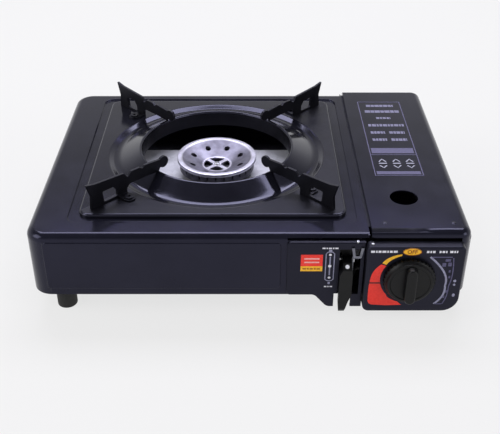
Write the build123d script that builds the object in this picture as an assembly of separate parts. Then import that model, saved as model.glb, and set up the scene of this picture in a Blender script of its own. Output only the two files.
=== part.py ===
from build123d import *
import os

# A single-burner cassette stove: a pressed body with a drip pan and four trivet fins over the burner,
# and beside them a bay for a gas cartridge under a hinged lid, with its regulator, valve, igniter and lock.
# Frame, in millimetres: +X right, +Y back, +Z up, origin on the table under the middle of the stove.

# ---- body -------------------------------------------------------------------------------------------
body_width = 344.0
body_depth = 255.0
body_top = 76.3
body_floor = 21.0          # underside of the body above the table
body_corner = 16.0
body_roll = 6.5            # radius of the rolled top edge
sheet = 1.0
field_margin = 14.0        # raised field on the front wall, in from the body's left side
field_gap = 5.0            # between the field and the control panel
field_low = 27.0
field_high = 70.0
field_rise = 0.8
vent_width = 3.0
vent_length = 18.0
vent_pitch = 9.0
rear_vent_row = 52.0       # middle of the row of slots in the back wall
bay_vent_width = 2.4
bay_vent_row = 42.0

# ---- cooking side -----------------------------------------------------------------------------------
deck_left = 29.5           # deck left of the sunk part that takes the pan
deck_right = 7.0           # and between that and the partition
deck_front = 19.5
deck_back = 12.5
recess_drop = 1.5
pan_side_gap = 8.0         # between the pan and the sides of the sunk part
pan_end_gap = 7.5
pan_corner = 9.0
pan_top = 78.3
rim_land = 10.0            # flat rim of the pan outside its dish
dish_width = 29.0          # from the edge of the pan's hole to the rim of the dish
collar_top = 85.2          # rim of the pan's hole
collar_foot = 71.0
collar_slope = 18.0        # width of the slope from the rim down to the dish's floor
dish_floor = 76.0
dish_step = 4.0            # width of the step between the floor and the flat rim
fin_sheet = 2.2
fin_top = 101.0
horn_reach = 34.5          # tips of the fins beyond the rim of the pan
fin_bar = 86.0             # underside of the bar that carries the pot
fin_notch = 0.56           # depth of the deep notches as a share of the bar's height
ball_radius = 5.0
ball_reach = 4.0           # centre of a fin's round end inside the edge of the pan's hole
rivet_land = 10.5          # rivets outside the rim of the dish
rivet_side = 9.0
rivet_radius = 2.2

# ---- burner -----------------------------------------------------------------------------------------
cap_top = 74.0
cap_radius = 35.0
cap_ring = 4.6             # width of the flat ring round the cap
cap_sheet = 1.6
web_top = 65.2
web_radius = 13.0
cap_hole_place = 22.5
bowl_top = 71.0
bowl_radius = 33.0
bowl_wall = 1.6
port_count = 28
cap_hole_count = 8
bracket_top = 57.0
bracket_margin = 18.0      # legs of the bracket outside the edge of the pan's hole
bracket_near = 59.0        # its front edge in front of the burner
bracket_far = 41.0         # its back edge behind the burner
stem_radius = 9.0
tube_radius = 6.0
tube_wall = 1.0
tube_height = 41.0
electrode_gap = 43.0       # electrode behind the burner centre
insulator_radius = 3.0
rod_radius = 0.8
lead_radius = 1.5

# ---- cartridge bay ----------------------------------------------------------------------------------
bay_side = 44.0            # axis of the cartridge in from the body's right side
bay_wall = 36.5            # and from the partition
bay_height = 44.5
bay_radius = 34.5
inlet_height = 44.0
inlet_depth = 46.5         # face of the inlet behind the front wall
inlet_bore = 4.6
inlet_length = 4.7         # depth of the bore
inlet_radius = 8.0
seal_radius = 3.8
seal_height = 1.8
can_length = 185.0
diaphragm_radius = 13.5
diaphragm_depth = 29.7
jet_depth = 32.0
partition_top = 75.0
bulkhead_depth = 14.0
bulkhead_sheet = 1.2
foot_radius = 8.0
foot_inset = 23.3          # left feet in from the side
foot_back = 16.0           # feet in from front and back
bay_foot_back = 20.0

# ---- lid --------------------------------------------------------------------------------------------
lid_lap = 1.5              # lid's left edge beyond the partition
lid_top = 80.0
lid_skirt = 11.0
lid_roll = 6.0
lid_corner = 9.0
lid_inset = 2.5            # lid's right side in from the body's
lid_front_gap = 2.5        # between the lid's front skirt and the valve cover
hinge_inset = 4.0          # hinge axis in from the lid's right side
hinge_z = 74.0
pin_radius = 1.5
hinge_front = 25.2
hinge_back = 19.0          # back hinge in front of the rear wall
hinge_foot = 58.0          # underside of the hinge brackets
finger_hole = 11.25
finger_side = 4.0          # finger hole left of the cartridge's axis
finger_depth = 50.0
bump_radius = 3.0          # pips that rest the lid on its front edge

# ---- controls ---------------------------------------------------------------------------------------
panel_width = 59.4
panel_high = 72.2
panel_low = 22.5
panel_belly = 10.8
panel_proud = 3.0
panel_wall = 1.5
panel_seam = 0.2           # between the panel and the valve cover
panel_shadow = 1.6         # slit in the front wall over the panel's ledge
cover_lap = 2.9            # valve cover's left edge left of the partition
cover_inset = 8.4          # its right edge in from the body's side
cover_low = 11.0
cover_proud = 9.0
knob_side = 5.5            # knob's axis left of the cartridge's
knob_z = 43.0
knob_radius = 20.0
knob_face_radius = 17.5
knob_gap = 0.8
knob_skirt = 3.0
knob_disc = 6.4
knob_height = 11.7
spindle_radius = 3.0
running = 0.05             # radial clearance of a shaft that turns or slides in its hole
snug = 0.02                # radial clearance of a pin that is pressed home
cam_radius = 6.0
cam_rise = 4.0
cam_turn = 120.0           # degrees of knob travel
tip_gap = 0.3
plunger_radius = 2.0
piezo_side = 9.0
lever_place = 17.3         # middle of the lever left of the partition
lever_width = 10.0
lever_head = 6.8           # width of the lever's upper end
lever_slit = 2.9           # slit that the lever's foot swings beside
lever_pivot_depth = 8.0
lever_pivot_z = 50.0
lever_arm = 15.0
lever_pin = 2.5
slide_place = 4.5          # middle of the pusher's strip left of the partition
slide_sheet = 2.0
slide_low = 57.0
slide_high = 70.0
plate_low = 27.0           # underside of the push plate
plate_width = 36.0
guide_gap = 0.3
guide_wall = 2.0
guide_length = 10.0
guide_front = 70.0
guide_back = 55.0          # back guide in front of the rear wall
ledge_screw = 0.8          # radius
regulator_screw = 18.0     # above and below the knob's axis
regulator_nose = 6.0
lead_place = 8.8          # ignition lead left of the partition

# ---- places worked out from the sizes above ---------------------------------------------------------
control_reach = cover_proud + knob_gap + knob_height
front = (control_reach - body_depth) / 2
rear = front + body_depth
half_width = body_width / 2
body_middle = (front + rear) / 2
bay_x = half_width - bay_side
partition_x = bay_x - bay_wall
recess_width = half_width + partition_x - deck_left - deck_right
recess_depth = body_depth - deck_front - deck_back
burner_x = partition_x - deck_right - recess_width / 2
burner_depth = deck_front + recess_depth / 2
burner_y = front + burner_depth
pan_width = recess_width - 2 * pan_side_gap
pan_depth = recess_depth - 2 * pan_end_gap
dish_rim = min(pan_width, pan_depth) / 2 - rim_land
pan_hole = dish_rim - dish_width
ball_place = pan_hole - ball_reach
rivet_place = dish_rim + rivet_land
fin_reach = min(pan_width, pan_depth) / 2 + horn_reach
lid_left = partition_x + lid_lap
lid_right = half_width - lid_inset
hinge_x = lid_right - hinge_inset
finger_x = bay_x - finger_side
knob_x = bay_x - knob_side
cover_left = partition_x - cover_lap
cover_right = half_width - cover_inset
panel_right = cover_left - panel_seam
panel_left = panel_right - panel_width
field_left = field_margin - half_width
field_right = panel_left - field_gap
lever_x = partition_x - lever_place
slide_x = partition_x - slide_place
bracket_left = burner_x - pan_hole - bracket_margin
bracket_right = burner_x + pan_hole + bracket_margin
bracket_front = burner_depth - bracket_near
bracket_back = burner_depth + bracket_far
base_top = body_floor + sheet
bowl_mouth = bowl_radius - bowl_wall
recess_floor = body_top - recess_drop
lid_low = lid_top - lid_skirt
tray_radius = bay_radius + sheet
burner = Pos(burner_x, burner_y, 0)
can_depth = inlet_depth + can_length      # the cartridge's base behind the front wall, locked in
jet_y = front + jet_depth
piezo_y = front + 5.5
piezo_right = knob_x - cam_radius - tip_gap - 4.5
piezo_left = piezo_right - 19.0


# ---- shared forms -----------------------------------------------------------------------------------
def block(x, y, z):
    """A box between pairs of limits."""
    size = [high - low for low, high in (x, y, z)]
    middle = [(high + low) / 2 for low, high in (x, y, z)]
    return Pos(*middle) * Box(*size)


def behind(low, high):
    """A pair of limits measured back from the front wall."""
    return (front + low, front + high)


def rod(start, end, radius):
    start, end = Vector(*start), Vector(*end)
    along = end - start
    return extrude(Plane(origin=start, z_dir=along) * Circle(radius), along.length)


def rounded_slab(width, depth, corner, low, high, x=0.0, y=None):
    y = body_middle if y is None else y
    return extrude(Pos(x, y, low) * RectangleRounded(width, depth, corner), high - low)


def rolled_slab(width, depth, corner, low, high, roll):
    slab = rounded_slab(width, depth, corner, low, high)
    return fillet(slab.faces().sort_by(Axis.Z)[-1].edges(), roll)


def upright(outline, y_low, y_high):
    """A face drawn in X and Z, made solid between two depths."""
    face = Plane(origin=(0, y_high, 0), x_dir=(1, 0, 0), z_dir=(0, -1, 0)) * outline
    return extrude(face, y_high - y_low)


def sideways(outline, x_low, x_high):
    """A face drawn in Y and Z, made solid between two widths."""
    face = Plane(origin=(x_low, 0, 0), x_dir=(0, 1, 0), z_dir=(1, 0, 0)) * outline
    return extrude(face, x_high - x_low)


def turned(points, bend=0.0):
    """A closed profile of radius and height, with its corners rounded, turned about Z."""
    profile = make_face(Polyline(*points, close=True))
    if bend:
        profile = fillet(profile.vertices(), bend)
    return revolve(Plane.XZ * profile, Axis.Z)


def pan_head(x, y, z, radius, length, head_radius, head_height):
    """An upright screw with its head on top at height z."""
    shank = rod((x, y, z - length), (x, y, z), radius)
    head = rod((x, y, z), (x, y, z + head_height), head_radius)
    head = fillet(head.faces().sort_by(Axis.Z)[-1].edges(), head_height * 0.45)
    return shank + head


def slot_places(low, high, pitch):
    """Evenly spaced places between two limits, centred between them."""
    count = int((high - low) / pitch)
    first = (low + high - count * pitch) / 2
    return [first + pitch * i for i in range(count + 1)]


# ---- body -------------------------------------------------------------------------------------------
def make_body_shell():
    outer = rolled_slab(body_width, body_depth, body_corner, body_floor, body_top, body_roll)
    inner = rolled_slab(body_width - 2 * sheet, body_depth - 2 * sheet, body_corner - sheet,
                        body_floor - sheet, body_top - sheet, body_roll - sheet)
    recess = rounded_slab(recess_width, recess_depth, pan_corner, recess_floor, body_top + 1,
                          burner_x, burner_y)
    under_recess = rounded_slab(recess_width + 2 * sheet, recess_depth + 2 * sheet, pan_corner + sheet,
                                recess_floor - sheet, body_top, burner_x, burner_y)
    field = upright(Pos((field_left + field_right) / 2, (field_low + field_high) / 2)
                    * RectangleRounded(field_right - field_left, field_high - field_low, 3),
                    front - field_rise, front + sheet / 2)
    field = chamfer(field.faces().sort_by(Axis.Y)[0].edges(), field_rise * 0.8)
    shell = outer - recess - (inner - under_recess) + field
    shell -= rounded_slab(2 * dish_rim, 2 * dish_rim, pan_corner, body_floor, body_top, burner_x, burner_y)
    wall_top = hinge_z - (lid_skirt - (lid_top - hinge_z)) - 0.95
    shell -= block((partition_x, half_width + 1), (front - 1, rear + 1), (wall_top, body_top + 1))
    seam_low = slide_high + 2 * guide_gap + guide_wall
    shell += block((partition_x - sheet, partition_x), (front + sheet / 2, rear - sheet / 2),
                   (seam_low, body_top - sheet / 2))
    wall = (front - 1, front + 2 * sheet)
    shell -= block((lever_x - 11, partition_x), wall, (0, panel_high - 5))
    shell -= block((cover_left, cover_right - 2), wall, (0, body_top))
    shell -= block((panel_left, partition_x), (front - 1, front + body_roll),
                   (panel_high, panel_high + panel_shadow))
    places = slot_places(-half_width + vent_pitch * 3, partition_x - vent_pitch * 3, vent_pitch * 2)
    return shell - [Pos(x, rear, rear_vent_row) * Box(vent_width, 4 * sheet, vent_length) for x in places]


def floor_sheet():
    return rounded_slab(body_width - 2 * sheet, body_depth - 2 * sheet, body_corner - sheet,
                        body_floor, base_top)


def make_base_plate():
    plate = floor_sheet()
    plate &= block((-half_width, partition_x), (front, rear), (body_floor, base_top))
    for x in (burner_x - bracket_near, burner_x + bracket_near):
        slots = [Pos(x, y, body_floor) * Box(vent_length * 2, vent_width, 4 * sheet)
                 for y in slot_places(burner_y - 5 * vent_pitch, burner_y + 5 * vent_pitch, vent_pitch)]
        plate -= slots
    for x, y in foot_places()[:2]:
        plate -= rod((x, y, body_floor - 1), (x, y, base_top + 1), 1.6)
    return plate


def make_bay_tray():
    y = (front + sheet, rear - sheet)
    flange = floor_sheet()
    flange &= block((partition_x, half_width), (front, rear), (body_floor, base_top))
    belly = rod((bay_x, y[0], bay_height), (bay_x, y[1], bay_height), tray_radius)
    belly &= block((bay_x - tray_radius, bay_x + tray_radius), y, (0, base_top))
    hollow = rod((bay_x, y[0] + sheet, bay_height), (bay_x, y[1] - sheet, bay_height), bay_radius)
    tray = flange + belly - hollow
    for x, y in foot_places()[2:]:
        tray -= rod((x, y, 0), (x, y, base_top), 1.6)
    return tray


def make_partition():
    y = behind(bulkhead_depth + bulkhead_sheet, body_depth - sheet)
    wall = block((partition_x, partition_x + sheet), y, (base_top, partition_top))
    lip = block((partition_x, partition_x + 2.8), y, (partition_top - sheet, partition_top))
    foot = block((partition_x - 7, partition_x), y, (base_top, base_top + sheet))
    wall += lip + foot
    wall -= rod((partition_x - 9, jet_y, tube_height), (partition_x + 9, jet_y, tube_height), 9.5)
    wall -= block((partition_x - 1, partition_x + 2), behind(can_depth - 2, can_depth + 14),
                  (slide_low - 2, slide_high + 2))
    places = slot_places(front + inlet_depth + vent_length, rear - 2 * vent_length, vent_pitch)
    return wall - [Pos(partition_x, y, bay_vent_row) * Box(4 * sheet, bay_vent_width, vent_length)
                   for y in places]


def foot_places():
    left, right = -half_width + foot_inset, bay_x
    low, high = front + foot_back, rear - foot_back
    return [(left, low), (left, high), (right, front + bay_foot_back), (right, rear - bay_foot_back)]


def make_foot(x, y):
    """A rubber foot. Under the bay its top follows the round belly."""
    under_bay = x > 0
    top = bay_height - tray_radius if under_bay else body_floor
    foot = rod((x, y, 0), (x, y, top + (3 if under_bay else 0)), foot_radius)
    foot = fillet(foot.faces().sort_by(Axis.Z)[0].edges(), 1.2)
    if under_bay:
        foot -= rod((x, y - 20, bay_height), (x, y + 20, bay_height), tray_radius)
    foot -= rod((x, y, -1), (x, y, top - 4), 3.6)
    return foot - rod((x, y, -1), (x, y, top + 4), 1.6)


def make_foot_screws():
    screws = []
    for number, (x, y) in enumerate(foot_places()):
        top = body_floor if number < 2 else bay_height - tray_radius
        shank = rod((x, y, top - 4), (x, y, top + sheet + 0.6), 1.5)
        screws.append(shank + rod((x, y, top - 5.6), (x, y, top - 4), 3))
    return Compound(screws)


# ---- controls on the front --------------------------------------------------------------------------
def panel_outline():
    corners = [(panel_left, panel_high), (panel_right, panel_high), (panel_right, panel_belly),
               (panel_left + 32, panel_belly), (panel_left + 22, panel_low), (panel_left, panel_low)]
    face = make_face(Polyline(*corners, close=True))
    soft = face.vertices().filter_by(lambda v: panel_left + 10 < v.X < panel_right - 10)
    face = fillet(soft, 6)
    return fillet(face.vertices().filter_by(lambda v: v.X < panel_left + 1), 3)


def make_control_panel():
    outline = panel_outline()
    solid = upright(outline, front - panel_proud, front)
    solid = chamfer(solid.faces().sort_by(Axis.Y)[0].edges(), 0.6)
    hollow = upright(offset(outline, -panel_wall), front - panel_proud + panel_wall, front + 1)
    panel = solid - hollow - ledge_holes()
    lever_left = lever_x - lever_width / 2
    depth = (front - cover_proud, front + 1)
    near = lever_left - guide_gap
    slot = block((near, lever_left + 16), depth, (panel_low + 1, panel_high - 6))
    swing = block((near, lever_left + lever_width + guide_gap), depth, (0, panel_low + 2))
    slit = block((lever_left - lever_slit, near + 0.1), depth, (0, panel_low + 1.5))
    return panel - slot - swing - slit


def make_lever_catch():
    """The sprung clip beside the lever's head: a tapered U of bent strip."""
    left, right, high, low = lever_x + 5.2, lever_x + 11.4, panel_high - 4, panel_high - 13.5
    shape = make_face(Polyline((left - 1.6, high), (right + 1.6, high), (right, low), (left, low),
                               close=True))
    shape = fillet(shape.vertices().sort_by(Axis.Y)[:2], 1.6)
    mouth = make_face(Polyline((left + 0.4, high + 1), (right - 0.4, high + 1), (right - 1.6, low + 2.2),
                               (left + 1.6, low + 2.2), close=True))
    return upright(shape - mouth, front - panel_proud - 1.2, front - panel_proud)


def make_valve_cover():
    width, height = cover_right - cover_left, panel_high - cover_low
    middle = ((cover_left + cover_right) / 2, (panel_high + cover_low) / 2)
    outline = Pos(*middle) * Rectangle(width, height)
    outline = fillet(outline.vertices().sort_by(Axis.X)[2:].sort_by(Axis.Y)[0], 13)
    outline = fillet(outline.vertices().filter_by(lambda v: v.Y > panel_high - 1), 4)
    low_left = outline.vertices().filter_by(lambda v: v.X < cover_left + 1 and v.Y < cover_low + 1)
    outline = fillet(low_left, 5)
    solid = upright(outline, front - cover_proud, front)
    solid = fillet(solid.faces().sort_by(Axis.Y)[0].edges(), 1.4)
    hollow = upright(offset(outline, -panel_wall), front - cover_proud + panel_wall, front + 1)
    hole = rod((knob_x, front - cover_proud - 1, knob_z), (knob_x, front, knob_z), spindle_radius + 4)
    return solid - hollow - hole - ledge_holes()


def ledge_screws():
    """One screw in the top ledge of the panel and one in that of the valve cover."""
    return [(lever_x + 8.2, front - panel_proud / 2), (cover_left + 4.6, front - cover_proud / 2)]


def ledge_holes():
    ledge = (panel_high - 2 * panel_wall, panel_high + 1)
    return Part() + [rod((x, y, ledge[0]), (x, y, ledge[1]), ledge_screw + snug) for x, y in ledge_screws()]


def make_panel_screws():
    return Compound([pan_head(x, y, panel_high, ledge_screw, panel_wall, 1.3, 1.0)
                     for x, y in ledge_screws()])


def make_knob():
    back = front - cover_proud - knob_gap
    axis = Plane(origin=(knob_x, back, knob_z), x_dir=(1, 0, 0), z_dir=(0, -1, 0))
    profile = make_face(Polyline((0, 0), (knob_radius, 0), (knob_radius, knob_skirt),
                                 (knob_radius - 1.2, knob_skirt + 0.8), (knob_face_radius, knob_disc),
                                 (0, knob_disc), close=True))
    body = revolve(Plane.XZ * profile, Axis.Z)
    body = fillet(body.edges().filter_by(GeomType.CIRCLE).group_by(Axis.Z)[-1], 1.0)
    grip_profile = RectangleRounded(9.5, 2 * knob_face_radius - 2.4, 4.4)
    grip = extrude(grip_profile, knob_height, taper=4)
    grip = fillet(grip.faces().sort_by(Axis.Z)[-1].edges(), 1.6)
    flutes = [Rot(0, 0, 15 * i) * Pos(knob_radius + 0.5, 0, 0) * Cylinder(1.1, 2 * knob_skirt)
              for i in range(24)]
    bore = Cylinder(spindle_radius + snug, 2 * (knob_height - 3.5))
    hub = Cylinder(spindle_radius + 2.6, 2 * knob_skirt)
    hollow = Cylinder(knob_radius - 2.5, 2 * (knob_skirt - 1)) - hub
    return axis * (body + grip - (Part() + flutes) - hollow - bore)


# ---- lid --------------------------------------------------------------------------------------------
def make_lid():
    outer = rounded_slab(2 * lid_right, body_depth, lid_corner, lid_low, lid_top)
    outer &= block((lid_left, lid_right), (front, rear), (lid_low, lid_top))
    rim = outer.faces().sort_by(Axis.Z)[-1].edges()
    outer = fillet(rim.filter_by(lambda e: e.center().X > lid_left + 1), lid_roll)
    inner = rounded_slab(2 * (lid_right - sheet), body_depth - 2 * sheet, lid_corner - sheet,
                         lid_low - 1, lid_top - sheet)
    inner &= block((lid_left + sheet, lid_right), (front, rear), (0, lid_top))
    rim = inner.faces().sort_by(Axis.Z)[-1].edges()
    inner = fillet(rim.filter_by(lambda e: e.center().X > lid_left + 2), lid_roll - sheet)
    lid = outer - inner
    lid -= block((lid_left - 1, lid_left + 2), (front - 1, rear + 1), (0, partition_top + 0.2))
    lid -= block((lid_left - 1, lid_right - lid_corner + 1), (front - 1, front + 2),
                 (0, panel_high + lid_front_gap))
    centre = (finger_x, front + finger_depth)
    lid -= rod((*centre, lid_low), (*centre, lid_top + 1), finger_hole)
    for x in (lid_left + 11, cover_right - 7):
        pip = Pos(x, front + lid_skirt + 2, lid_top - 2.4) * Sphere(bump_radius)
        lid += pip & block((lid_left, lid_right), (front, rear), (lid_top - sheet / 2, lid_top + 1))
    for y in (front + hinge_front + guide_gap, rear - hinge_back - guide_gap - bulkhead_sheet):
        y = (y, y + bulkhead_sheet)
        tab = rod((hinge_x, y[0], hinge_z), (hinge_x, y[1], hinge_z), 2.9)
        tab += block((hinge_x - 5, hinge_x + 2.9), y, (hinge_z, lid_top - sheet / 2))
        lid += tab - rod((hinge_x, y[0] - 1, hinge_z), (hinge_x, y[1] + 1, hinge_z), pin_radius + running)
    return lid


def hinge_bracket(y_low):
    """A plate hooked round the path of the lid's skirt, welded to the side wall by its flange."""
    y = (y_low, y_low + bulkhead_sheet)
    wall = half_width - sheet
    top = hinge_z + 2.6
    plate = block((hinge_x - 11, wall), y, (hinge_foot, hinge_z - 7.5))
    plate += block((hinge_x - 11, hinge_x - 7), y, (hinge_foot, top))
    plate += block((hinge_x - 11, hinge_x), y, (hinge_z - 1.5, top))
    plate += rod((hinge_x, y[0], hinge_z), (hinge_x, y[1], hinge_z), 2.6)
    plate += block((wall - bulkhead_sheet, wall), (y[0] - 7, y[0]), (hinge_foot, hinge_z - 7.5))
    return plate - rod((hinge_x, y[0] - 1, hinge_z), (hinge_x, y[1] + 1, hinge_z), pin_radius + snug)


def make_hinge_brackets():
    first = front + hinge_front - bulkhead_sheet
    return Compound([hinge_bracket(first), hinge_bracket(rear - hinge_back)])


def make_hinge_pins():
    pins = []
    for y_low in (front + hinge_front - bulkhead_sheet, rear - hinge_back - guide_gap - bulkhead_sheet):
        y_high = y_low + 2 * bulkhead_sheet + guide_gap
        pin = rod((hinge_x, y_low, hinge_z), (hinge_x, y_high, hinge_z), pin_radius)
        for y in ((y_low - 0.9, y_low), (y_high, y_high + 0.9)):
            pin += rod((hinge_x, y[0], hinge_z), (hinge_x, y[1], hinge_z), 2.3)
        pins.append(pin)
    return Compound(pins)


# ---- drip pan and trivet ----------------------------------------------------------------------------
def make_drip_pan():
    rim = rounded_slab(pan_width, pan_depth, pan_corner, recess_floor, pan_top, burner_x, burner_y)
    rim = fillet(rim.faces().sort_by(Axis.Z)[-1].edges(), 1.8)
    rim -= rounded_slab(pan_width - 2 * sheet, pan_depth - 2 * sheet, pan_corner - sheet,
                        recess_floor - 1, pan_top - sheet, burner_x, burner_y)
    rim -= rod((burner_x, burner_y, 0), (burner_x, burner_y, pan_top + 1), dish_rim + 2)
    slope_foot = pan_hole + 1.8 + collar_slope
    upper = [(dish_rim + 2.1, pan_top), (dish_rim, pan_top), (dish_rim - dish_step, dish_floor),
             (slope_foot, dish_floor), (pan_hole + 1.8, collar_top), (pan_hole, collar_top - 1.4),
             (pan_hole, collar_foot)]
    lower = [(pan_hole + sheet, collar_foot), (pan_hole + sheet, collar_top - 2.0),
             (pan_hole + 1.9, collar_top - 1.3), (slope_foot - 0.3, dish_floor - sheet),
             (dish_rim - dish_step + 0.4, dish_floor - sheet), (dish_rim + 0.4, pan_top - sheet),
             (dish_rim + 2.1, pan_top - sheet)]
    profile = make_face(Polyline(*upper, *lower, close=True))
    bends = profile.vertices().filter_by(lambda v: v.X < dish_rim + 2 and v.Y > collar_foot + 1)
    dish = revolve(Plane.XZ * fillet(bends, 0.6), Axis.Z)
    pan = rim + burner * dish
    for angle in range(45, 360, 90):
        spot = burner * Rot(0, 0, angle) * Pos(rivet_place, rivet_side, pan_top)
        pan -= spot * Cylinder(rivet_radius + snug, 6)
    return pan


def fin_outline():
    """One trivet fin, drawn as radius from the burner's axis and height."""
    bar = fin_top - fin_bar
    saddle = fin_top - 0.3 * bar
    notch = fin_top - fin_notch * bar
    edge = [(fin_reach - 2.5, pan_top), (fin_reach - 3.6, pan_top + 11), (fin_reach, fin_top),
            (fin_reach - 8, fin_top - 0.12 * bar), (fin_reach - 36.5, fin_top - 0.24 * bar),
            (fin_reach - 40, notch), (fin_reach - 44, saddle), (fin_reach - 52.5, saddle),
            (fin_reach - 55.5, (notch + saddle) / 2), (fin_reach - 58, saddle), (fin_reach - 61, saddle),
            (ball_place + 3, saddle - 0.07 * bar), (ball_place + 3, fin_bar + 0.23 * bar),
            (ball_place + 5, fin_bar), (pan_hole + 1.4, collar_top), (pan_hole + 3.2, collar_top),
            (ball_place + 19, fin_bar), (ball_place + 36, fin_bar), (ball_place + 39, fin_bar - 3),
            (ball_place + 39, pan_top)]
    outline = make_face(Polyline(*edge, close=True))
    notches = outline.vertices().filter_by(
        lambda v: fin_reach - 60 < v.X < fin_reach - 36 and v.Y > fin_bar + 2)
    outline = fillet(notches, 0.09 * bar)
    ball_height = saddle - 0.07 * bar - ball_radius + 1.6
    outline += Pos(ball_place, ball_height) * Circle(ball_radius)
    window = make_face(Polyline((fin_reach - 28.5, pan_top + 2), (fin_reach - 15.5, pan_top + 2),
                                (fin_reach - 14.5, pan_top + 11.5), (fin_reach - 25, pan_top + 11.5),
                                (fin_reach - 28.5, pan_top + 7), close=True))
    return outline - fillet(window.vertices(), 1.2)


def make_fin(angle):
    profile = Plane.XZ * fin_outline()
    fin = Pos(0, fin_sheet / 2, 0) * extrude(profile, fin_sheet)
    foot = block((rivet_place - 5, rivet_place + 5), (0, rivet_side), (pan_top, pan_top + 1.5))
    foot += Pos(rivet_place, rivet_side, pan_top + 0.75) * Cylinder(5, 1.5)
    foot -= Pos(rivet_place, rivet_side, pan_top) * Cylinder(rivet_radius + snug, 6)
    return burner * Rot(0, 0, angle) * (fin + foot)


def make_trivet_rivets():
    shank = Pos(0, 0, pan_top + 0.15) * Cylinder(rivet_radius, 3.9)
    head = Pos(0, 0, pan_top + 2.1) * Cylinder(3.6, 1.2)
    tail = Pos(0, 0, pan_top - sheet - 0.4) * Cylinder(3.2, 0.8)
    rivet = shank + head + tail - Pos(0, 0, pan_top + 2.4) * Cylinder(1.3, 2)
    rivet = Pos(rivet_place, rivet_side, 0) * rivet
    return Compound([burner * Rot(0, 0, angle) * rivet for angle in range(45, 360, 90)])


# ---- burner -----------------------------------------------------------------------------------------
def make_burner_bracket():
    y = behind(bracket_front, bracket_back)
    plate = block((bracket_left, bracket_right), y, (bracket_top - sheet, bracket_top))
    tongue = behind(bracket_back - 1, burner_depth + electrode_gap + 10)
    plate += block((burner_x - 12, burner_x + 12), tongue, (bracket_top - sheet, bracket_top))
    for x, side in ((bracket_left, -1), (bracket_right, 1)):
        leg = sorted((x, x - side * sheet))
        plate += block(leg, y, (base_top, bracket_top))
        foot = sorted((x, x + side * 9))
        plate += block(foot, y, (base_top, base_top + sheet))
        for screw_y in (y[0] + 12, y[1] - 12):
            plate -= rod((x + side * 5, screw_y, base_top - 1), (x + side * 5, screw_y, base_top + 2), 1.55)
    plate -= burner * rod((0, 0, 0), (0, 0, 90), stem_radius + snug)
    return plate - burner * rod((0, electrode_gap, 0), (0, electrode_gap, 90), insulator_radius + snug)


def make_bracket_screws():
    screws = []
    for x in (bracket_left - 5, bracket_right + 5):
        for depth in (bracket_front + 12, bracket_back - 12):
            screws.append(pan_head(x, front + depth, base_top + sheet, 1.5, sheet, 2.8, 1.6))
    return Compound(screws)


def make_burner_bowl():
    shape = turned([(tube_radius + running, tube_height + 11.5), (stem_radius, tube_height + 11.5),
                    (stem_radius, bracket_top), (stem_radius + 4, bracket_top),
                    (stem_radius + 4, bracket_top + 3), (bowl_radius - 4, bracket_top + 3),
                    (bowl_radius, bracket_top + 6), (bowl_radius, bowl_top),
                    (bowl_mouth, bowl_top), (bowl_mouth, bracket_top + 6.6),
                    (bowl_radius - 4.6, bracket_top + 4.6), (tube_radius + running, bracket_top + 4.6)])
    ports = [Rot(0, 0, 360 * i / port_count) * Pos(bowl_radius, 0, bowl_top) * Box(8, 1.4, 9)
             for i in range(port_count)]
    return burner * (shape - (Part() + ports))


def make_burner_cap():
    """A deep pressed dish: a broad ring, a wall that slopes in past the small holes, and a low X web."""
    ring_inner = cap_radius - cap_ring
    dish = [(cap_radius, bowl_top), (cap_radius, cap_top - 0.8), (cap_radius - 0.8, cap_top),
            (ring_inner + 0.8, cap_top), (ring_inner, cap_top - 0.8), (web_radius, web_top),
            (0, web_top), (0, web_top - cap_sheet), (web_radius, web_top - cap_sheet),
            (bowl_mouth - 0.1, bowl_top - 0.6), (bowl_mouth - 0.1, bowl_top)]
    cap = turned(dish)
    slope = (web_top + cap_top) / 2
    holes = [Rot(0, 0, 22.5 + 360 * i / cap_hole_count) * Pos(cap_hole_place, 0, slope) * Cylinder(2.0, 12)
             for i in range(cap_hole_count)]
    cap -= Part() + holes + Cylinder(1.45, 200)
    openings = Pos(0, 0, web_top) * (Cylinder(web_radius - 1.5, 6) - Cylinder(3.6, 6))
    web = Pos(0, 0, web_top) * Rot(0, 0, 45) * (Box(40, 3.6, 6) + Box(3.6, 40, 6))
    return burner * (cap - (openings - web))


def make_burner_screw():
    return burner * pan_head(0, 0, web_top, 1.4, cap_sheet, 2.6, 1.3)


def make_mixing_tube():
    start = Vector(partition_x - 3.5, jet_y, tube_height)
    path = FilletPolyline(start, (burner_x + 46, jet_y, tube_height), (burner_x, burner_y, tube_height),
                          (burner_x, burner_y, bracket_top + 1), radius=[40, 11])
    section = Circle(tube_radius) - Circle(tube_radius - tube_wall)
    tube = sweep(Plane(origin=start, z_dir=(-1, 0, 0)) * section, path=path)
    bell = Plane(origin=start, x_dir=(0, 1, 0), z_dir=(-1, 0, 0)) * turned(
        [(8.2, 0), (9.2, 0), (9.2, 4), (tube_radius, 11), (tube_radius, 14), (tube_radius - tube_wall, 14),
         (tube_radius - tube_wall, 11), (8.2, 3.6)])
    inlet = rod(start, start + Vector(-12, 0, 0), tube_radius + 0.01)
    return tube - inlet + bell


def make_electrode():
    y = burner_y + electrode_gap
    path = FilletPolyline((burner_x, y, 46), (burner_x, y, cap_top - 7), (burner_x, y - 5.5, cap_top - 5),
                          radius=2)
    return sweep(Plane(origin=(burner_x, y, 46)) * Circle(rod_radius), path=path)


def make_electrode_insulator():
    shape = turned([(rod_radius + snug, 47), (insulator_radius, 47), (insulator_radius, bracket_top),
                    (insulator_radius + 1.6, bracket_top), (insulator_radius + 1.6, bracket_top + 2),
                    (insulator_radius - 0.4, bracket_top + 3), (insulator_radius - 1, 64),
                    (rod_radius + snug, 64)])
    return burner * Pos(0, electrode_gap, 0) * shape


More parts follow.
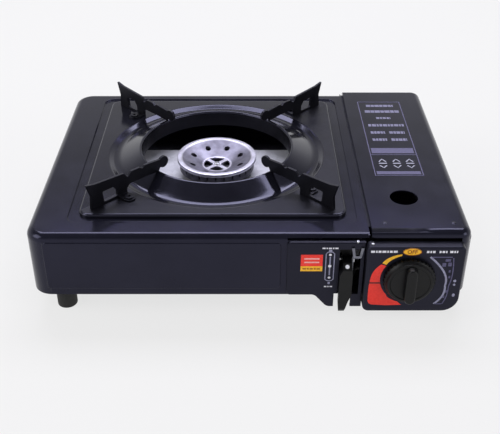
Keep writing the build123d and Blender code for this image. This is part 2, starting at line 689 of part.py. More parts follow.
def make_ignition_lead():
    lead_floor = base_top + lead_radius + 0.1
    lead_x = partition_x - lead_place
    y = burner_y + electrode_gap
    route = [(burner_x, y, 46), (burner_x, y, lead_floor), (lead_x - 12, y, lead_floor),
             (lead_x, front + 120, lead_floor), (lead_x, front + 19, lead_floor),
             (lead_x, piezo_y, knob_z), (piezo_left, piezo_y, knob_z)]
    path = FilletPolyline(*route, radius=[9, 12, 40, 7, 3.6])
    return sweep(Plane(origin=route[0], z_dir=(0, 0, -1)) * Circle(lead_radius), path=path)


# ---- regulator and valve ----------------------------------------------------------------------------
def make_bay_bulkhead():
    y = behind(bulkhead_depth, bulkhead_depth + bulkhead_sheet)
    plate = block((partition_x + 1.5, hinge_x - 3), y, (base_top, 68))
    belly = rod((bay_x, y[0], bay_height), (bay_x, y[1], bay_height), bay_radius - 0.1)
    plate += belly & block((partition_x, half_width), y, (0, base_top))
    plate -= rod((knob_x, y[0] - 1, knob_z), (knob_x, y[1] + 1, knob_z), regulator_nose + 0.2)
    return plate


def make_regulator_body():
    face = front + bulkhead_depth + bulkhead_sheet
    body = rod((knob_x, face, knob_z), (knob_x, front + 35, knob_z), 15)
    body += rod((knob_x, face - 5.5, knob_z), (knob_x, face, knob_z), regulator_nose)
    flange = Pos(knob_x, knob_z) * RectangleRounded(24, 2 * regulator_screw + 8, 4)
    body += upright(flange, face, face + 3)
    body += rod((bay_x, front + 30, inlet_height), (bay_x, front + inlet_depth - 2.5, inlet_height), 12)
    dome_y = front + diaphragm_depth
    body += rod((knob_x + 8, dome_y, knob_z), (knob_x + 20, dome_y, knob_z), diaphragm_radius)
    body += rod((knob_x - 25, jet_y, tube_height), (knob_x - 10, jet_y, tube_height), 6)
    body -= rod((bay_x, front + 38, inlet_height), (bay_x, front + 60, inlet_height), inlet_radius + snug)
    body -= rod((knob_x, face - 9, knob_z), (knob_x, front + 28, knob_z), spindle_radius + running)
    for z in (knob_z - regulator_screw, knob_z + regulator_screw):
        body -= rod((knob_x, face - 1, z), (knob_x, face + 6, z), 1.5 + snug)
    return body


def make_regulator_screws():
    face = front + bulkhead_depth + bulkhead_sheet
    screws = []
    for z in (knob_z - regulator_screw, knob_z + regulator_screw):
        shank = rod((knob_x, face, z), (knob_x, face + 3, z), 1.5)
        screws.append(shank + rod((knob_x, face + 3, z), (knob_x, face + 4.6, z), 2.9))
    return Compound(screws)


def make_diaphragm_cover():
    base = Plane(origin=(knob_x + 20, front + diaphragm_depth, knob_z), x_dir=(0, 1, 0), z_dir=(1, 0, 0))
    cover = turned([(0, 0), (diaphragm_radius, 0), (diaphragm_radius, 2), (10, 2.4), (8.8, 6.5), (4, 7.2),
                    (4, 9), (0, 9)])
    for angle in range(45, 360, 90):
        cover -= Rot(0, 0, angle) * Pos(diaphragm_radius - 1.9, 0, 1) * Cylinder(1.0, 6)
    return base * cover


def make_cover_screws():
    base = Plane(origin=(knob_x + 20, front + diaphragm_depth, knob_z), x_dir=(0, 1, 0), z_dir=(1, 0, 0))
    screw = Pos(diaphragm_radius - 1.9, 0, 1.2) * Cylinder(0.95, 2.4)
    screw += Pos(diaphragm_radius - 1.9, 0, 3.0) * Cylinder(1.6, 1.2)
    return Compound([base * Rot(0, 0, angle) * screw for angle in range(45, 360, 90)])


def make_inlet_fitting():
    y = front + inlet_depth
    floor = y - inlet_length
    body = rod((bay_x, front + 38, inlet_height), (bay_x, y, inlet_height), inlet_radius)
    body -= rod((bay_x, floor - seal_height, inlet_height), (bay_x, y, inlet_height), seal_radius)
    return body - rod((bay_x, floor, inlet_height), (bay_x, y + 1, inlet_height), inlet_bore)


def make_inlet_seal():
    y = front + inlet_depth - inlet_length - seal_height
    top = y + seal_height - running
    ring = rod((bay_x, y, inlet_height), (bay_x, top, inlet_height), seal_radius - snug)
    return ring - rod((bay_x, y - 1, inlet_height), (bay_x, top + 1, inlet_height), seal_radius - 1.4)


def make_locating_plate():
    """The plate that stops the cartridge's collar, with the key for its notch."""
    y = behind(inlet_depth - 2.5, inlet_depth - 1.3)
    plate = upright(Pos(bay_x, inlet_height + 2) * RectangleRounded(34, 40, 6), *y)
    plate += block((bay_x - 2, bay_x + 2), behind(inlet_depth - 2.5, inlet_depth + 2.5),
                   (inlet_height + 17.5, inlet_height + 18.7))
    return plate - rod((bay_x, y[0], inlet_height), (bay_x, y[1], inlet_height), inlet_radius + snug)


def make_gas_jet():
    start = Plane(origin=(knob_x - 25, jet_y, tube_height), x_dir=(0, 1, 0), z_dir=(-1, 0, 0))
    hexagon = extrude(RegularPolygon(5.6, 6), 4)
    nose = Pos(0, 0, 4) * turned([(0, 0), (4, 0), (4, 1.5), (1.6, 6.2), (0, 6.2)])
    return start * (hexagon + nose - Cylinder(0.5, 40))


def make_valve_spindle():
    y_front = front - cover_proud - knob_gap - (knob_height - 4.5)
    spindle = rod((knob_x, y_front, knob_z), (knob_x, front + 27.5, knob_z), spindle_radius)
    return fillet(spindle.edges().filter_by(GeomType.CIRCLE).sort_by(Axis.Y)[0], 0.5)


def make_spindle_cam():
    """A spiral cam: it gains the same rise for each degree that the knob is turned."""
    spiral = []
    for turn in range(0, int(cam_turn) + 16, 15):
        radius = cam_radius + cam_rise * turn / cam_turn
        spiral.append(Vector(-radius, 0).rotate(Axis.Z, -turn))
    lobe = make_face([Spline(*spiral), Line(spiral[-1], (0, 0)), Line((0, 0), spiral[0])])
    outline = Pos(knob_x, knob_z) * (lobe + Circle(cam_radius) - Circle(spindle_radius + snug))
    return upright(outline, piezo_y - 2, piezo_y + 2)


# ---- igniter ----------------------------------------------------------------------------------------
def make_piezo_body():
    y, z = piezo_y, knob_z
    half = piezo_side / 2
    body = block((piezo_left, piezo_right), (y - half, y + half), (z - half, z + half))
    body = fillet(body.edges().filter_by(Axis.X), 1)
    return body - rod((piezo_left + 3.6, y, z), (piezo_right + 1, y, z), plunger_radius + running)


def make_piezo_plunger():
    y, z = piezo_y, knob_z
    tip = knob_x - cam_radius - tip_gap
    plunger = rod((tip - 15, y, z), (tip - plunger_radius, y, z), plunger_radius)
    return plunger + Pos(tip - plunger_radius, y, z) * Sphere(plunger_radius)


def make_piezo_clip():
    """A strap that wraps the igniter and is riveted to the bulkhead."""
    y, z = piezo_y, knob_z
    half = piezo_side / 2
    x = (piezo_left + 5, piezo_left + 13)
    strap = block(x, (y - half + 1.5, front + bulkhead_depth), (z - half - 1.2, z + half + 1.2))
    return strap - block((x[0] - 1, x[1] + 1), (y - half - 1, y + half), (z - half, z + half))


# ---- lock lever and pusher --------------------------------------------------------------------------
def make_lever():
    """The lock lever: a bent arm that pivots behind the panel, with its grip hanging in front."""
    y, z = front + lever_pivot_depth, lever_pivot_z
    face = front - cover_proud
    low = panel_belly - 0.4
    side = make_face(Polyline((y, z + 6), (face + 3, z + 6), (face - 1.2, z + 1), (face - 0.4, z - 18),
                              (face - 1.4, low + 4), (face + 0.4, low), (face + 3, low + 1.6),
                              (face + 4.2, z - 20), (face + 3.8, z - 6), (y, z - 6.4), close=True))
    side = fillet(side.vertices().filter_by(lambda v: v.X < y - 1), 1.5)
    side += Pos(y, z) * Circle(6.4)
    side += Pos(y, z + lever_arm / 2) * Rectangle(8.4, lever_arm) + Pos(y, z + lever_arm) * Circle(4.2)
    side -= Pos(y, z) * Circle(lever_pin + running)
    side -= Pos(y, z + lever_arm) * Circle(lever_pin + snug)
    left, right = lever_x - lever_width / 2, lever_x + lever_width / 2
    lever = sideways(side, left, right)
    neck = (right - lever_head - 0.6, right - 0.6)
    shape = make_face(Polyline((left, body_top), (right, body_top), (right, z + 11), (neck[1], z + 8),
                               (neck[1], z + 2), (right, z - 3), (right, low + 17), (right - 2.6, low + 10),
                               (left + 4.4, low - 1), (left + 0.8, low - 1), (left, low + 9), (left, z - 4),
                               (neck[0], z + 2), (neck[0], z + 8), (left, z + 11), close=True))
    shape = fillet(shape.vertices().filter_by(lambda v: v.Y < body_floor + 8), 1.2)
    return lever & upright(shape, front - 40, front + 40)


def lever_pin_rod(height, left, right):
    y, z = front + lever_pivot_depth, lever_pivot_z + height
    return rod((left, y, z), (right, y, z), lever_pin)


def make_lever_pivot_pin():
    left, right = lever_x - lever_width / 2 - 1.6, lever_x + lever_width / 2 + 1.6
    y, z = front + lever_pivot_depth, lever_pivot_z
    pin = lever_pin_rod(0, left, right)
    return pin + rod((left - 0.8, y, z), (left, y, z), 3.4) + rod((right, y, z), (right + 0.8, y, z), 3.4)


def make_lever_drive_pin():
    return lever_pin_rod(lever_arm, lever_x - lever_width / 2 + 1, slide_x + slide_sheet / 2 + 0.9)


def make_lever_bracket():
    """A U of sheet on the base that carries the lever's pivot."""
    y = behind(lever_pivot_depth - 5, lever_pivot_depth + 6)
    left, right = lever_x - lever_width / 2 - guide_gap, lever_x + lever_width / 2 + guide_gap
    thick = 1.2
    cheek = make_face(Polyline((y[0], base_top), (y[1], base_top), (y[1], lever_pivot_z + 6.4),
                               (y[0], lever_pivot_z + 6.4), close=True))
    cheek = fillet(cheek.vertices().sort_by(Axis.Y)[2:], 4)
    cheek -= Pos(front + lever_pivot_depth, lever_pivot_z) * Circle(lever_pin + snug)
    bracket = sideways(cheek, left - thick, left) + sideways(cheek, right, right + thick)
    return bracket + block((left - thick, right + thick), y, (base_top, base_top + thick))


def make_pusher_slide():
    """A strip beside the partition, bent across behind the cartridge into its push plate."""
    x = (slide_x - slide_sheet / 2, slide_x + slide_sheet / 2)
    base = can_depth
    bar = block(x, behind(lever_pivot_depth - 4.5, base + slide_sheet), (slide_low, slide_high))
    y, z = front + lever_pivot_depth, lever_pivot_z + lever_arm
    bar -= block((x[0] - 1, x[1] + 1), (y - lever_pin - 0.35, y + lever_pin + 0.35),
                 (z - lever_pin - 3, z + lever_pin + guide_gap))
    side = plate_width / 2
    arm = block((x[0], bay_x + side), behind(base, base + slide_sheet), (slide_low, slide_high))
    face = Pos(bay_x, (slide_low + plate_low) / 2) * Rectangle(plate_width, slide_low - plate_low + 2)
    plate = upright(face, *behind(base, base + slide_sheet))
    plate = fillet(plate.edges().filter_by(Axis.Y).group_by(Axis.Z)[0], 6)
    return bar + arm + plate


def make_slide_guides():
    guides = []
    for depth in (guide_front, body_depth - guide_back - guide_length):
        x = (slide_x - slide_sheet / 2 - guide_gap, slide_x + slide_sheet / 2 + guide_gap)
        reach = guide_gap + guide_wall
        height = (slide_low - reach, slide_high + reach)
        y = behind(depth, depth + guide_length)
        body = block((x[0] - guide_wall, partition_x), y, height)
        channel = block(x, (y[0] - 1, y[1] + 1), (slide_low - guide_gap, slide_high + guide_gap))
        guides.append(body - channel)
    return Compound(guides)


parts = {
    "body_shell": make_body_shell,
    "base_plate": make_base_plate,
    "bay_tray": make_bay_tray,
    "partition": make_partition,
    "foot_screws": make_foot_screws,
    "control_panel": make_control_panel,
    "lever_catch": make_lever_catch,
    "valve_cover": make_valve_cover,
    "panel_screws": make_panel_screws,
    "knob": make_knob,
    "lid": make_lid,
    "lid_hinge_brackets": make_hinge_brackets,
    "lid_hinge_pins": make_hinge_pins,
    "drip_pan": make_drip_pan,
    "trivet_rivets": make_trivet_rivets,
    "burner_bracket": make_burner_bracket,
    "bracket_screws": make_bracket_screws,
    "burner_bowl": make_burner_bowl,
    "burner_cap": make_burner_cap,
    "burner_screw": make_burner_screw,
    "mixing_tube": make_mixing_tube,
    "electrode": make_electrode,
    "electrode_insulator": make_electrode_insulator,
    "ignition_lead": make_ignition_lead,
    "bay_bulkhead": make_bay_bulkhead,
    "regulator_body": make_regulator_body,
    "regulator_screws": make_regulator_screws,
    "diaphragm_cover": make_diaphragm_cover,
    "cover_screws": make_cover_screws,
    "inlet_fitting": make_inlet_fitting,
    "inlet_seal": make_inlet_seal,
    "locating_plate": make_locating_plate,
    "gas_jet": make_gas_jet,
    "valve_spindle": make_valve_spindle,
    "spindle_cam": make_spindle_cam,
    "piezo_body": make_piezo_body,
    "piezo_plunger": make_piezo_plunger,
    "piezo_clip": make_piezo_clip,
    "lever": make_lever,
    "lever_pivot_pin": make_lever_pivot_pin,
    "lever_drive_pin": make_lever_drive_pin,
    "lever_bracket": make_lever_bracket,
    "pusher_slide": make_pusher_slide,
    "slide_guides": make_slide_guides,
}
for name, (x, y) in zip(("front_left", "back_left", "front_right", "back_right"), foot_places()):
    parts["foot_" + name] = lambda x=x, y=y: make_foot(x, y)
for name, angle in (("back_right", 45), ("back_left", 135), ("front_left", 225), ("front_right", 315)):
    parts["fin_" + name] = lambda angle=angle: make_fin(angle)

os.makedirs("parts", exist_ok=True)
for name, make in parts.items():
    export_step(make(), f"parts/{name}.step")
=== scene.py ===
import math

import bpy
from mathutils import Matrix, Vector


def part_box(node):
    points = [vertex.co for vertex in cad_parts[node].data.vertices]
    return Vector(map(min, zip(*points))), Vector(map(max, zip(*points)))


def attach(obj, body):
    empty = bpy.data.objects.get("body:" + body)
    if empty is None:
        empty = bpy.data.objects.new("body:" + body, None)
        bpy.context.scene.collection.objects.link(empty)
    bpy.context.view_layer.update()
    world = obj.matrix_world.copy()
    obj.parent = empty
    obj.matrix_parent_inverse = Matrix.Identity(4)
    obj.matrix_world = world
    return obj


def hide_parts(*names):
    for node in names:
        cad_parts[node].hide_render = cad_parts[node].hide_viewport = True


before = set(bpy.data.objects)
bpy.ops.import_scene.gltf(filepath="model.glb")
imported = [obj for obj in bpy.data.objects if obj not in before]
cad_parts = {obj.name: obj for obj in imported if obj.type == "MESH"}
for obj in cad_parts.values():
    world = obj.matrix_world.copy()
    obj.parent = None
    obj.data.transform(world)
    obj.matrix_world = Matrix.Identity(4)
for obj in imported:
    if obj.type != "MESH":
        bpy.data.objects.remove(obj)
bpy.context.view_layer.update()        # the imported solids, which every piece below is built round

mm = 0.001
touching = 0.001         # corners closer than this, in mm, are one corner
nearEdge = 0.98          # past this much of the way from a block's middle lie its edges
noiseMiddle = (0.35, 0.65)      # most of a noise's values lie between these
waveTurns = 20 / math.tau       # turns in a metre of a wave texture whose scale is 1


# getting hold of meshes

def activate(piece):
    bpy.ops.object.select_all(action="DESELECT")
    piece.select_set(True)
    bpy.context.view_layer.objects.active = piece


def startEdit(piece, kind="FACE"):        # edit mode with nothing selected
    activate(piece)
    bpy.ops.object.mode_set(mode="EDIT")
    bpy.ops.mesh.select_mode(type=kind)
    bpy.ops.mesh.select_all(action="DESELECT")


def pickFaces(piece, test):               # edit mode with the faces that pass the test
    startEdit(piece)
    bpy.ops.object.mode_set(mode="OBJECT")
    for face in piece.data.polygons:
        face.select = test(face.center, face.normal)
    bpy.ops.object.mode_set(mode="EDIT")


def pickEdges(piece, test):               # edit mode with the edges whose middles pass the test
    startEdit(piece, "EDGE")
    bpy.ops.object.mode_set(mode="OBJECT")
    corners = piece.data.vertices
    for edge in piece.data.edges:
        edge.select = test((corners[edge.vertices[0]].co + corners[edge.vertices[1]].co) / 2)
    bpy.ops.object.mode_set(mode="EDIT")


def pickSharp(piece, test, angle=28):     # edit mode with the hard edges that pass the test
    startEdit(piece, "EDGE")
    bpy.ops.mesh.edges_select_sharp(sharpness=math.radians(angle))
    bpy.ops.object.mode_set(mode="OBJECT")
    corners, edges = piece.data.vertices, piece.data.edges
    hard = [edge.index for edge in edges if edge.select
            and test((corners[edge.vertices[0]].co + corners[edge.vertices[1]].co) / 2)]
    startEdit(piece, "EDGE")
    bpy.ops.object.mode_set(mode="OBJECT")
    for index in hard:
        edges[index].select = True
    bpy.ops.object.mode_set(mode="EDIT")


def stopEdit():
    bpy.ops.object.mode_set(mode="OBJECT")


def applyModifiers(piece):
    activate(piece)
    for modifier in list(piece.modifiers):
        bpy.ops.object.modifier_apply(modifier=modifier.name)


def settle(piece):                        # the piece's place goes into its mesh
    activate(piece)
    bpy.ops.object.transform_apply(location=True, rotation=True, scale=True)


def outwards(piece):
    startEdit(piece)
    bpy.ops.mesh.select_all(action="SELECT")
    bpy.ops.mesh.remove_doubles(threshold=touching * mm)
    bpy.ops.mesh.normals_make_consistent(inside=False)
    stopEdit()


def easeAll(piece, width, segments=2, angle=30):        # a small round on every hard edge
    bevel = piece.modifiers.new("easedEdges", "BEVEL")
    bevel.width = width * mm
    bevel.segments = segments
    bevel.limit_method = "ANGLE"
    bevel.angle_limit = math.radians(angle)
    applyModifiers(piece)


def shade(piece, angle=40):               # smooth up to this angle, with the flat faces kept flat
    activate(piece)
    bpy.ops.object.shade_smooth_by_angle(angle=math.radians(angle))
    weighted = piece.modifiers.new("flatFacesStayFlat", "WEIGHTED_NORMAL")
    weighted.keep_sharp = True
    applyModifiers(piece)


def cut(piece, tool, operation="DIFFERENCE"):           # uses up the tool
    boolean = piece.modifiers.new("cut", "BOOLEAN")
    boolean.operation = operation
    boolean.object = tool
    boolean.solver = "EXACT"
    applyModifiers(piece)
    bpy.data.objects.remove(tool)


def join(pieces):
    bpy.ops.object.select_all(action="DESELECT")
    for piece in pieces:
        piece.select_set(True)
    bpy.context.view_layer.objects.active = pieces[0]
    bpy.ops.object.join()
    return pieces[0]


def copyOfSolid(name, node):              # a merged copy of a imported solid, to be finished as a new piece
    piece = bpy.data.objects.new(name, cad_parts[node].data.copy())
    bpy.context.scene.collection.objects.link(piece)
    startEdit(piece)
    bpy.ops.mesh.select_all(action="SELECT")
    bpy.ops.mesh.remove_doubles(threshold=touching * mm)
    bpy.ops.mesh.dissolve_limited(angle_limit=math.radians(0.4))
    stopEdit()
    return piece


def turnedPiece(name, section, turns, centre):     # rings of radius and height, each drawn out of the last
    radius, height = section[0]
    middle = Vector((centre.x, centre.y, 0))
    bpy.ops.object.select_all(action="DESELECT")
    bpy.ops.mesh.primitive_circle_add(vertices=turns, radius=radius * mm,
                                      location=middle + Vector((0, 0, height * mm)))
    piece = bpy.context.object
    piece.name = name
    bpy.ops.object.mode_set(mode="EDIT")
    bpy.ops.mesh.select_mode(type="EDGE")
    bpy.ops.mesh.select_all(action="SELECT")
    for nextRadius, nextHeight in section[1:]:
        rise = (nextHeight - height) * mm
        bpy.ops.mesh.extrude_edges_move(TRANSFORM_OT_translate={"value": (0, 0, rise)})
        growth = nextRadius / radius
        bpy.ops.transform.resize(value=(growth, growth, 1), center_override=middle)
        radius, height = nextRadius, nextHeight
    stopEdit()
    settle(piece)
    return piece


def rodPiece(name, radius, length, place, turns, along="Z"):
    bpy.ops.object.select_all(action="DESELECT")
    tilt = math.pi / 2 if along == "Y" else 0
    bpy.ops.mesh.primitive_cylinder_add(vertices=turns, radius=radius * mm, depth=length * mm,
                                        location=place, rotation=(tilt, 0, 0))
    piece = bpy.context.object
    piece.name = name
    settle(piece)
    return piece


def blockPiece(name, size, place, turn=0.0):
    bpy.ops.object.select_all(action="DESELECT")
    bpy.ops.mesh.primitive_cube_add(size=1, location=place, rotation=(0, 0, math.radians(turn)))
    piece = bpy.context.object
    piece.name = name
    piece.scale = Vector(size) * mm
    settle(piece)
    return piece


def finishPiece(piece, material, body, node=None):
    piece.data.materials.clear()
    piece.data.materials.append(material)
    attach(piece, body)
    if node:
        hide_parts(node)
    return piece


# materials

def linear(hexColour):                    # sRGB hex to the linear colour that the nodes want
    channels = [int(hexColour[i:i + 2], 16) / 255 for i in (1, 3, 5)]
    return tuple(c / 12.92 if c <= 0.04045 else ((c + 0.055) / 1.055) ** 2.4 for c in channels) + (1.0,)


def addNode(tree, kind, settings=(), links=()):
    node = tree.nodes.new(kind)
    for name, value in dict(settings).items():
        if isinstance(name, int) or name in node.inputs:
            node.inputs[name].default_value = value
        else:
            setattr(node, name, value)
    for name, source in dict(links).items():        # a socket by its name or number
        tree.links.new(source, node.inputs[name])
    return node


def newMaterial(name):
    material = bpy.data.materials.new(name)
    material.use_nodes = True
    tree = material.node_tree
    tree.nodes.clear()
    place = addNode(tree, "ShaderNodeTexCoord").outputs["Object"]
    return material, tree, place


def perMetre(size):                       # a pattern's scale from the size of its grains in mm
    return 1 / (size * mm)


def finishMaterial(material, tree, shader):
    addNode(tree, "ShaderNodeOutputMaterial", links={"Surface": shader.outputs[0]})
    return material


def mottled(tree, place, look):           # two close colours in soft patches
    patches = addNode(tree, "ShaderNodeTexNoise", {"Scale": perMetre(look["patch"]), "Detail": 3.0},
                      {"Vector": place})
    ramp = addNode(tree, "ShaderNodeValToRGB", links={"Fac": patches.outputs["Fac"]})
    for stop, position, colour in zip(ramp.color_ramp.elements, noiseMiddle, (look["dark"], look["light"])):
        stop.position = position
        stop.color = linear(colour)
    return ramp.outputs["Color"]


def skin(tree, relief, haze, strength, depth, roughness):
    # the first pattern raises the skin, and the second's middle values are spread over the roughness
    bump = addNode(tree, "ShaderNodeBump", {"Strength": strength, "Distance": depth * mm},
                   {"Height": relief})
    gloss = addNode(tree, "ShaderNodeMapRange",
                    {1: noiseMiddle[0], 2: noiseMiddle[1], 3: roughness[0], 4: roughness[1]}, {0: haze})
    return {"Normal": bump.outputs["Normal"], "Roughness": gloss.outputs[0]}


def grainedSkin(tree, place, look, detail):         # one noise both raises the skin and varies its gloss
    grain = addNode(tree, "ShaderNodeTexNoise", {"Scale": perMetre(look["grain"]), "Detail": detail},
                    {"Vector": place}).outputs["Fac"]
    return skin(tree, grain, grain, look["grainStrength"], look["grainDepth"], look["roughness"])


def bakedEnamel(name, look):
    # stoving enamel, sprayed on pressed steel and baked: a fine orange peel breaks its highlights a little,
    # and the film is thinner and so a shade bluer in some patches
    material, tree, place = newMaterial(name)
    peel = addNode(tree, "ShaderNodeTexNoise", {"Scale": perMetre(look["peel"]), "Detail": 2.0},
                   {"Vector": place})
    wipe = addNode(tree, "ShaderNodeTexNoise", {"Scale": perMetre(look["wipe"]), "Detail": 4.0},
                   {"Vector": place})
    shader = addNode(tree, "ShaderNodeBsdfPrincipled",
                     {"IOR": look["ior"], "Specular Tint": linear(look["sheen"]),
                      "Coat Weight": look["coat"], "Coat Roughness": 0.06, "Coat IOR": 1.45},
                     {"Base Color": mottled(tree, place, look),
                      **skin(tree, peel.outputs["Fac"], wipe.outputs["Fac"], look["peelStrength"],
                             look["peelDepth"], look["roughness"])})
    return finishMaterial(material, tree, shader)


def grainedMetal(name, look):
    # cast, drawn, turned or rolled metal: its tool leaves the skin faintly grained and clouded, coarse on a
    # casting and fine on the rest
    material, tree, place = newMaterial(name)
    shader = addNode(tree, "ShaderNodeBsdfPrincipled", {"Metallic": 1.0},
                     {"Base Color": mottled(tree, place, look), **grainedSkin(tree, place, look, 5.0)})
    return finishMaterial(material, tree, shader)


def turnedMetal(name, look, centre):
    # turned aluminium: the lathe leaves fine rings round the axis, which stretch its highlights across them,
    # and the cone between the rim and the web is coloured darker than they are, as painted shade. The rings
    # are drawn about a millimetre apart, coarser than a lathe's, so that they show
    material, tree, place = newMaterial(name)
    centred = addNode(tree, "ShaderNodeMapping", {"Location": (-centre[0], -centre[1], 0.0)},
                      {"Vector": place})
    rings = addNode(tree, "ShaderNodeTexWave",
                    {"wave_type": "RINGS", "rings_direction": "Z",
                     "Scale": perMetre(look["ring"]) / waveTurns,
                     "Distortion": 1.2, "Detail": 2.0, "Detail Scale": 2.0},
                    {"Vector": centred.outputs["Vector"]})
    flat = addNode(tree, "ShaderNodeVectorMath", {"operation": "MULTIPLY", 1: (1.0, 1.0, 0.0)},
                   {0: centred.outputs["Vector"]})
    radius = addNode(tree, "ShaderNodeVectorMath", {"operation": "LENGTH"}, {0: flat.outputs["Vector"]})
    web, rim = (reach * mm for reach in look["cone"])
    soft = look["coneEdge"] * mm
    pastWeb = addNode(tree, "ShaderNodeMapRange", {1: web - soft, 2: web + soft, 3: 0.0, 4: 1.0},
                      {0: radius.outputs["Value"]})
    beforeRim = addNode(tree, "ShaderNodeMapRange", {1: rim - soft, 2: rim + soft, 3: 1.0, 4: 0.0},
                        {0: radius.outputs["Value"]})
    cone = addNode(tree, "ShaderNodeMath", {"operation": "MULTIPLY"},
                   {0: pastWeb.outputs[0], 1: beforeRim.outputs[0]}).outputs[0]
    colour = addNode(tree, "ShaderNodeMix", {"data_type": "RGBA"},
                     {0: cone, 6: mottled(tree, place, look["bright"]),
                      7: mottled(tree, place, look["shadedCone"])})
    shader = addNode(tree, "ShaderNodeBsdfPrincipled", {"Metallic": 1.0},
                     {"Base Color": colour.outputs[2],
                      **skin(tree, rings.outputs["Fac"], cone, look["ringStrength"], look["ringDepth"],
                             look["roughness"])})
    return finishMaterial(material, tree, shader)


def zincPlated(name, look):
    # zinc plated sheet: rolled, then plated, so it has faint lines along the roll and cloudy spangles, and
    # where its chalky passivation is thick it scatters light as well as mirroring it
    material, tree, place = newMaterial(name)
    rolled = addNode(tree, "ShaderNodeMapping", {"Scale": (look["stretch"], 1.0, 1.0)}, {"Vector": place})
    spangle = addNode(tree, "ShaderNodeTexVoronoi", {"Scale": perMetre(look["spangle"])}, {"Vector": place})
    colour = addNode(tree, "ShaderNodeMix",
                     {"data_type": "RGBA", 6: linear(look["dark"]), 7: linear(look["light"])},
                     {0: spangle.outputs["Color"]})
    shader = addNode(tree, "ShaderNodeBsdfPrincipled", {"Metallic": look["metallic"]},
                     {"Base Color": colour.outputs[2],
                      **grainedSkin(tree, rolled.outputs["Vector"], look, 3.0)})
    return finishMaterial(material, tree, shader)


def mouldedSkin(name, look):
    # plastic and rubber moulded in a spark-eroded tool, and fired ceramic: an even fine grain, satin on the
    # faces, drawn a little coarser than it is so that it shows
    material, tree, place = newMaterial(name)
    shader = addNode(tree, "ShaderNodeBsdfPrincipled", {"IOR": look["ior"]},
                     {"Base Color": mottled(tree, place, {**look, "patch": plasticPatch}),
                      **grainedSkin(tree, place, look, 2.0)})
    return finishMaterial(material, tree, shader)


def screenInk(name, look):
    # ink pushed through a mesh: nearly flat, with the weave of the screen left in its surface and its depth,
    # and the weave drawn coarser than it is so that it shows
    material, tree, place = newMaterial(name)
    shader = addNode(tree, "ShaderNodeBsdfPrincipled", {"IOR": inkFilm["ior"]},
                     {"Base Color": mottled(tree, place, {**inkFilm, **look}),
                      **grainedSkin(tree, place, inkFilm, 1.0)})
    return finishMaterial(material, tree, shader)


enamelLooks = {
    "body": {"dark": "#13131b", "light": "#191922", "patch": 40, "peel": 1.6, "peelStrength": 0.2,
             "peelDepth": 0.05, "wipe": 18, "roughness": (0.13, 0.2), "ior": 1.42, "sheen": "#c6c6f0",
             "coat": 0.0},
    "panel": {"dark": "#0e0e13", "light": "#131319", "patch": 30, "peel": 1.1, "peelStrength": 0.25,
              "peelDepth": 0.04, "wipe": 12, "roughness": (0.34, 0.44), "ior": 1.4, "sheen": "#c8c8f4",
              "coat": 0.0},
    "pan": {"dark": "#0f0f15", "light": "#15151c", "patch": 35, "peel": 2.2, "peelStrength": 0.12,
            "peelDepth": 0.05, "wipe": 22, "roughness": (0.1, 0.16), "ior": 1.5, "sheen": "#c8c8f2",
            "coat": 0.1},
    "trivet": {"dark": "#050507", "light": "#09090b", "patch": 12, "peel": 1.2, "peelStrength": 0.3,
               "peelDepth": 0.05, "wipe": 9, "roughness": (0.34, 0.46), "ior": 1.4, "sheen": "#d0d0f0",
               "coat": 0.0},
    "base": {"dark": "#0c0c10", "light": "#121217", "patch": 30, "peel": 1.5, "peelStrength": 0.25,
             "peelDepth": 0.05, "wipe": 15, "roughness": (0.45, 0.6), "ior": 1.45, "sheen": "#e0e0ff",
             "coat": 0.0},
}
# the cone's colours are darker than the rim's: painted shade on the cap's cone
burnerLook = {"bright": {"dark": "#bfbdca", "light": "#dad8e6", "patch": 9},
              "shadedCone": {"dark": "#6d6b79", "light": "#8b8999", "patch": 9},
              "cone": (13.0, 30.4), "coneEdge": 0.5, "ring": 0.98646, "ringStrength": 0.25,
              "ringDepth": 0.03, "roughness": (0.34, 0.44)}
metalLooks = {
    "dieCastAluminium": {"dark": "#8d8e92", "light": "#a4a5aa", "patch": 7, "grain": 0.5,
                         "grainStrength": 0.4, "grainDepth": 0.04, "roughness": (0.42, 0.58)},
    # the burner bowl's casting is coloured dark as painted shade under the cap
    "shadeDarkenedCasting": {"dark": "#3d3c42", "light": "#57565e", "patch": 6, "grain": 0.6,
                            "grainStrength": 0.4, "grainDepth": 0.04, "roughness": (0.36, 0.5)},
    "turnedBrass": {"dark": "#b08a3c", "light": "#c9a457", "patch": 5, "grain": 0.3,
                    "grainStrength": 0.15, "grainDepth": 0.01, "roughness": (0.2, 0.3)},
    "drawnSteel": {"dark": "#b5b6bb", "light": "#d2d3d8", "patch": 4, "grain": 0.3,
                   "grainStrength": 0.15, "grainDepth": 0.01, "roughness": (0.2, 0.3)},
    "rolledSpringSteel": {"dark": "#62636c", "light": "#7b7c86", "patch": 4, "grain": 0.3,
                          "grainStrength": 0.15, "grainDepth": 0.01, "roughness": (0.3, 0.4)},
}
zincLooks = {
    "zincPlatedSheet": {"dark": "#c6c6cf", "light": "#dadae2", "grain": 0.5, "stretch": 0.06,
                        "grainStrength": 0.25, "grainDepth": 0.01, "spangle": 5,
                        "roughness": (0.42, 0.54), "metallic": 0.3},
    "dullZincPlatedSheet": {"dark": "#55565c", "light": "#74757d", "grain": 0.5, "stretch": 0.06,
                            "grainStrength": 0.25, "grainDepth": 0.01, "spangle": 5,
                            "roughness": (0.35, 0.5), "metallic": 1.0},
}
plasticPatch = 6
